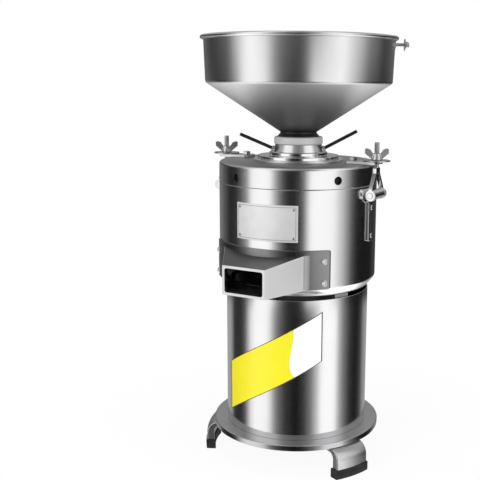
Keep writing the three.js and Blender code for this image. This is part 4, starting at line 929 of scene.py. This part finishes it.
for side, azimuth in CLAMP_AZIMUTHS.items():
    swing, washer, wing = f"swing_{side}", f"washer_{side}", f"wing_{side}"
    lug_bore = shifted(rod(4.3, 484, 493), LUG_BOLT_REACH, 0, 0)
    add(f"clamp_lug_{side}_plate", prism(lug_outline, 486.3, 490.8), "base", "satin_steel", satin,
        azimuth, replaces=f"clamp_lug_{side}", cuts=(lug_bore,), bevel=0.6)

    # Hex head with a chamfered crown, and its shank
    add(f"lug_bolt_{side}_hex", hex_head, "base", *FASTENER, azimuth, replaces=f"lug_bolt_{side}",
        meets=(hex_crown,), sharp=25)
    add(f"lug_bolt_{side}_shank", shifted(rod(4, 478, 491.4, 0.3), LUG_BOLT_REACH, 0, 0), "base",
        *FASTENER, azimuth)

    # Strap with its rolled knuckle and two rivets
    add(f"clamp_strap_{side}_bar", endways(strap_outline, 127.3, 130.3), "base", "satin_steel", satin,
        azimuth, replaces=f"clamp_strap_{side}", bevel=0.5)
    add(f"clamp_knuckle_{side}", knuckle, "base", "satin_steel", clamp_steel, azimuth)
    add(f"clamp_web_{side}", block((127.3, -17, 430), (132.2, 17, 440)), "base", "satin_steel", satin,
        azimuth, bevel=0.4)
    for name, level in (("upper", 419.0), ("lower", 375.0)):
        add(f"strap_rivet_{side}_{name}", shifted(strap_rivet, 0, 0, level), "base",
            *FASTENER, azimuth)
    pin = add(f"clamp_pin_{side}_headed", along_y(lathe(pin_profile, 36), REACH, PIVOT), "base",
              "bright_fastener", clamp_steel, azimuth, replaces=f"clamp_pin_{side}")

    # Forked swing bolt: two legs with their round eyes, and the threaded stud
    fork = add(f"swing_fork_{side}", endways(fork_outline, REACH - 3, REACH + 3), swing, "satin_steel",
               clamp_steel, azimuth, replaces=f"swing_bolt_{side}", cuts=(pin_bore,), bevel=0.9)
    eyes = [
        add(f"swing_eye_{side}_{name}", along_y(tube(PIN_BORE, EYE, low, high, 0.9, 40), REACH, PIVOT),
            swing, "satin_steel", clamp_steel, azimuth)
        for name, (low, high) in (("front", (-22.5, -17.5)), ("back", (17.5, 22.5)))
    ]
    for piece in (pin, fork, *eyes):
        piece.visible_glossy = False
    add(f"swing_stud_{side}", shifted(stud, REACH, 0, 0), swing, "satin_steel", bright, azimuth,
        sharp=60)
    add(f"clamp_washer_{side}_flat", shifted(tube(4.3, 21, 491.1, 493.1, 0.5, 64), REACH, 0, 0), washer,
        *FASTENER, azimuth, replaces=f"clamp_washer_{side}")

    # Wing nut
    turn = Matrix.Translation((REACH, 0, 0)) @ rotation(WING_AZIMUTH - azimuth, "Z")
    add(f"wing_nut_{side}_hub", moved(wing_hub, turn), wing, "bright_fastener", nut_zinc, azimuth,
        replaces=f"wing_nut_{side}")
    for name, sign in (("a", -1), ("b", 1)):
        add(f"wing_nut_{side}_wing_{name}", moved(wing_shape(sign), turn), wing, "bright_fastener",
            nut_zinc, azimuth, bevel=1.1, cuts=(moved(rod(4.3, 480, 520), turn),))


# Neck, handles, collar and hopper

add("adjusting_neck_turned", lathe(filleted([
    (26.8, 427, 0.6), (47.5, 427, 1), (47.5, 486.3), (72.5, 486.3, 0.3), (72.5, 489.5, 0.9),
    (65, 489.5, 0.4), (65, 495.1, 1.2), (46.5, 495.1, 0.6), (46.5, 500.4, 1.0), (41, 500.4, 0.8),
    (37, 512.6, 0.5), (26.8, 512.6, 0.4),
])), "neck", "polished_steel", neck_steel, replaces="adjusting_neck")
HANDLE_ROOT, HANDLE_TIP, HANDLE_LEVEL = 37, 93.8, 503.3
for side, azimuth, slope in (("right", 118, 27.9), ("left", -62, 22.9)):
    handle_line = Matrix.Translation((HANDLE_ROOT, 0, HANDLE_LEVEL)) @ rotation(90 - slope, "Y")
    length = (HANDLE_TIP - HANDLE_ROOT) / math.cos(radians(slope))
    handle = lathe(filleted([(0, 0), (2.7, 0, 0.4), (2.7, length, 0.9), (0, length)], 5), 32)
    add(f"handle_boss_{side}", moved(tube(2.8, 4.4, -0.3, 6, 0.4, 40), handle_line), "neck",
        "polished_steel", polished, azimuth)
    add(f"handle_{side}_rod", moved(handle, handle_line), "neck", "black_coated_steel", black_coat,
        azimuth, replaces=f"handle_{side}")

add("hopper_collar_turned", lathe(filleted([
    (26.8, 512.9, 0.6), (38.4, 512.9, 0.5), (39, 514.3, 0.5), (39, 522.8, 0.8), (37.5, 524.3, 0.6),
    (26.8, 524.3, 0.4),
])), "collar", "collar_aluminium", collar_metal, replaces="hopper_collar")

bead = arc(152.75, 677.6, 3, 3, -150, 170, 16)
hopper_outer = filleted([
    (25, 503.6), (26.5, 503.6), (26.5, 524.6, 1), (34, 524.6, 0.8), (28.4, 531.2, 1.5), (148, 608.6, 6),
    (150.5, 673.6, 0.6), (151.0, 675.2),
], 6)[:-1]
hopper_inner = filleted([
    (149.6, 678.0), (149.0, 673.6, 2), (146.5, 609.4, 6), (26.8, 532.4, 4), (25, 526, 3), (25, 503.6),
], 6)
add("hopper_spun", lathe(hopper_outer + bead + hopper_inner[:-1], 192), "hopper_set",
    "brushed_hopper", hopper_steel, replaces="hopper")

WASHER_SEAT = 165.17
NUT_SEAT = WASHER_SEAT + 1.8
bolt_profile = filleted([
    (0, 144.6), (5, 144.6, 1.2), (5, 147.8, 0.3), (2.8, 147.8), (2.8, WASHER_SEAT + 4),
    (0, WASHER_SEAT + 4),
])
cap_profile = [(0, NUT_SEAT), (5.0, NUT_SEAT)] + dome(5.0, NUT_SEAT + 2.6, 3.4, 84, 7)
for name, shape, replaces in (
    ("bolt_turned", lathe(bolt_profile, 32), "hopper_bolt"),
    ("seat_washer", tube(2.9, 7, 150.4, 151.6, 0.3, 40), None),
    ("washer_flat", tube(3.1, 9.5, WASHER_SEAT, WASHER_SEAT + 1.5, 0.4, 48), "hopper_washer"),
    ("cap_nut_domed", lathe(cap_profile, 32), "hopper_cap_nut"),
):
    add(f"hopper_{name}", along_x(shape, HOPPER_BOLT_LEVEL), "hopper_set", *FASTENER,
        HOPPER_BOLT_AZIMUTH, replaces=replaces)


# Floor, surround and lights

# The radii in metres over which the floor goes from this share of glow, with a shadow, to all of it
SHADOW_START, SHADOW_END, FLOOR_NEAR = 0.15, 0.65, 0.93
FLOOR_HALF, FLOOR_LEVEL = 9, -0.0004
WHITE = (1, 1, 1, 1)


def floor_white():
    """White to the camera, whiter still far out, with the object's shadow near it."""
    n = Nodes(bpy.data.materials.new("floor_white"), empty=True)
    length = n.node("ShaderNodeVectorMath", operation="LENGTH")
    n.link(n.coordinates, length.inputs[0])
    share = n.ranged(length.outputs["Value"], SHADOW_START, SHADOW_END, FLOOR_NEAR, 1.0)
    n.shine_out("ShaderNodeOutputMaterial", n.math("MULTIPLY", n.seen_by_eye(), share),
                n.node("ShaderNodeBsdfDiffuse", Color=(0.93, 0.93, 0.93, 1)),
                n.node("ShaderNodeEmission", Color=WHITE, Strength=1.0))
    return n.owner


floor_mesh = bpy.data.meshes.new("floor")
floor_mesh.from_pydata([
    (x * FLOOR_HALF, y * FLOOR_HALF, FLOOR_LEVEL) for x, y in ((-1, -1), (1, -1), (1, 1), (-1, 1))
], [], [(0, 1, 2, 3)])
floor = in_scene("floor", floor_mesh)
floor_mesh.materials.append(floor_white())
floor.visible_glossy = False

# Reflection surround: soft boxes and black flags round the object, as azimuth from the camera: level.
# From the top down, its belts are mirrored by the faces turned up, the hopper's wall, the chamber and
# lid, the motor shell, and the hopper's cone.
SKY_BELT = {
    -180: 0.42, -140: 0.50, -115: 0.45, -92: 0.40, -62: 1.05, -40: 0.95, -18: 0.30, 0: 0.22,
    18: 0.30, 40: 0.95, 62: 1.05, 92: 0.40, 115: 0.45, 140: 0.50, 180: 0.42,
}
HIGH_BELT = {
    -180: 0.30, -150: 0.12, -125: 0.05, -92: 0.12, -72: 0.78, -58: 1.25, -42: 0.88, -22: 0.24,
    0: 0.09, 20: 0.24, 36: 0.78, 52: 1.25, 70: 0.80, 94: 0.24, 118: 0.06, 150: 0.12, 180: 0.30,
}
MIDDLE_BELT = {
    -180: 0.26, -150: 0.20, -128: 0.09, -116: 0.02, -98: 0.02, -91: 0.08, -77: 0.26, -69: 1.15,
    -40: 1.20, -33: 0.50, -27: 0.20, -20: 0.05, -15: 0.010, -1: 0.012, 8: 0.08, 13: 0.60, 17: 1.20,
    50: 1.15, 65: 0.66, 75: 0.30, 84: 0.06, 95: 0.010, 128: 0.012, 150: 0.06, 180: 0.09,
}
LOW_BELT = {
    -180: 0.30, -150: 0.42, -135: 0.36, -122: 0.03, -100: 0.02, -92: 0.06, -86: 0.35, -80: 0.90,
    -70: 1.15, -50: 1.15, -44: 0.95, -37: 0.34, -30: 0.13, -17: 0.03, 0: 0.006, 11: 0.03, 22: 0.16,
    31: 0.50, 41: 1.20, 64: 1.20, 72: 0.45, 82: 0.16, 95: 0.03, 112: 0.008, 126: 0.05, 140: 0.30,
    158: 0.42, 180: 0.30,
}
GROUND_BELT = {
    -180: 1.30, -150: 1.40, -120: 1.45, -90: 1.40, -60: 1.00, -35: 0.48, -12: 0.18, 0: 0.14,
    12: 0.18, 35: 0.48, 60: 1.00, 90: 1.40, 120: 1.45, 150: 1.40, 180: 1.30,
}
SURROUND_RADIUS, SURROUND_LEVEL = 6.0, 0.35
# The heights over which each belt takes over from the one below, from the middle of the surround
UPPER_BELTS = (
    (LOW_BELT, -4.2, -3.0), (MIDDLE_BELT, -1.66, -1.50), (HIGH_BELT, -0.20, 0.25), (SKY_BELT, 1.2, 2.4),
)


def belt(n, place, levels):
    ramp = n.node("ShaderNodeValToRGB")
    ramp.color_ramp.interpolation = "EASE"
    stops = ramp.color_ramp.elements
    while len(stops) > 1:
        stops.remove(stops[-1])
    for index, (azimuth, level) in enumerate(levels.items()):
        position = (azimuth + 180) / 360
        stop = stops[0] if index == 0 else stops.new(position)
        stop.position = position
        stop.color = (level, level, level, 1)
    n.link(place, ramp.inputs[0])
    return ramp.outputs[0]


def surround_bands():
    n = Nodes(bpy.data.materials.new("surround_bands"), empty=True)
    x, y, z = n.parts(n.coordinates)
    angle = n.math("ARCTAN2", x, n.math("MULTIPLY", y, -1.0))
    place = n.ranged(angle, -math.pi, math.pi, smooth=False)
    colour = belt(n, place, GROUND_BELT)
    for levels, start, end in UPPER_BELTS:
        colour = n.blend(n.ranged(z, start, end), colour, belt(n, place, levels))
    glow = n.node("ShaderNodeEmission", Strength=1.0)
    n.link(colour, glow.inputs["Color"])
    n.link(glow.outputs[0], n.node("ShaderNodeOutputMaterial").inputs["Surface"])
    return n.owner


surround_mesh = bpy.data.meshes.new("surround")
work = bmesh.new()
bmesh.ops.create_uvsphere(work, u_segments=64, v_segments=32, radius=SURROUND_RADIUS)
work.to_mesh(surround_mesh)
work.free()
surround = in_scene("surround", surround_mesh)
surround_mesh.materials.append(surround_bands())
surround.location = (AXIS.x, AXIS.y, SURROUND_LEVEL)
surround.rotation_euler = (0, 0, radians(CAMERA_AZIMUTH))
for rays in ("camera", "diffuse", "shadow", "transmission", "volume_scatter"):
    setattr(surround, f"visible_{rays}", False)

# White to the camera, but it lights with about half of that
LIT_STRENGTH = 0.55
world = bpy.data.worlds.new("studio")
bpy.context.scene.world = world
n = Nodes(world, empty=True)
n.shine_out("ShaderNodeOutputWorld", n.seen_by_eye(),
            n.node("ShaderNodeBackground", Color=WHITE, Strength=LIT_STRENGTH),
            n.node("ShaderNodeBackground", Color=WHITE, Strength=1.0))

LAMP_AIM = 0.3


def standpoint(distance, azimuth, height):
    """A place in metres round the spindle, in the world."""
    angle = radians(azimuth)
    return Vector((distance * math.sin(angle), -distance * math.cos(angle), height)) + AXIS


def soft_box(name, azimuth, distance, height, size, power):
    lamp = bpy.data.lights.new(name, "AREA")
    lamp.size = size
    lamp.energy = power
    thing = in_scene(name, lamp)
    thing.location = standpoint(distance, azimuth, height)
    aim = Vector((0, 0, LAMP_AIM)) + AXIS - thing.location
    thing.rotation_euler = aim.to_track_quat("-Z", "Y").to_euler()
    thing.visible_glossy = False
    thing.visible_camera = False


soft_box("key_light", CAMERA_AZIMUTH - 45, 2.2, 1.6, 1.4, 28)
soft_box("fill_light", CAMERA_AZIMUTH + 55, 2.4, 1.1, 1.4, 16)
soft_box("top_light", CAMERA_AZIMUTH, 0.4, 2.4, 1.6, 14)


# Camera

camera_data = bpy.data.cameras.new("camera")
camera_data.lens = CAMERA_LENS
camera_data.shift_x = CAMERA_SHIFT
camera = in_scene("camera", camera_data)
place = standpoint(CAMERA_DISTANCE, CAMERA_AZIMUTH, CAMERA_HEIGHT)
turn = rotation(CAMERA_AZIMUTH, "Z") @ rotation(90 - CAMERA_PITCH, "X") @ rotation(CAMERA_ROLL, "Z")
camera.matrix_world = Matrix.Translation(place) @ turn
bpy.context.scene.camera = camera
bpy.context.scene.view_settings.view_transform = "Standard"
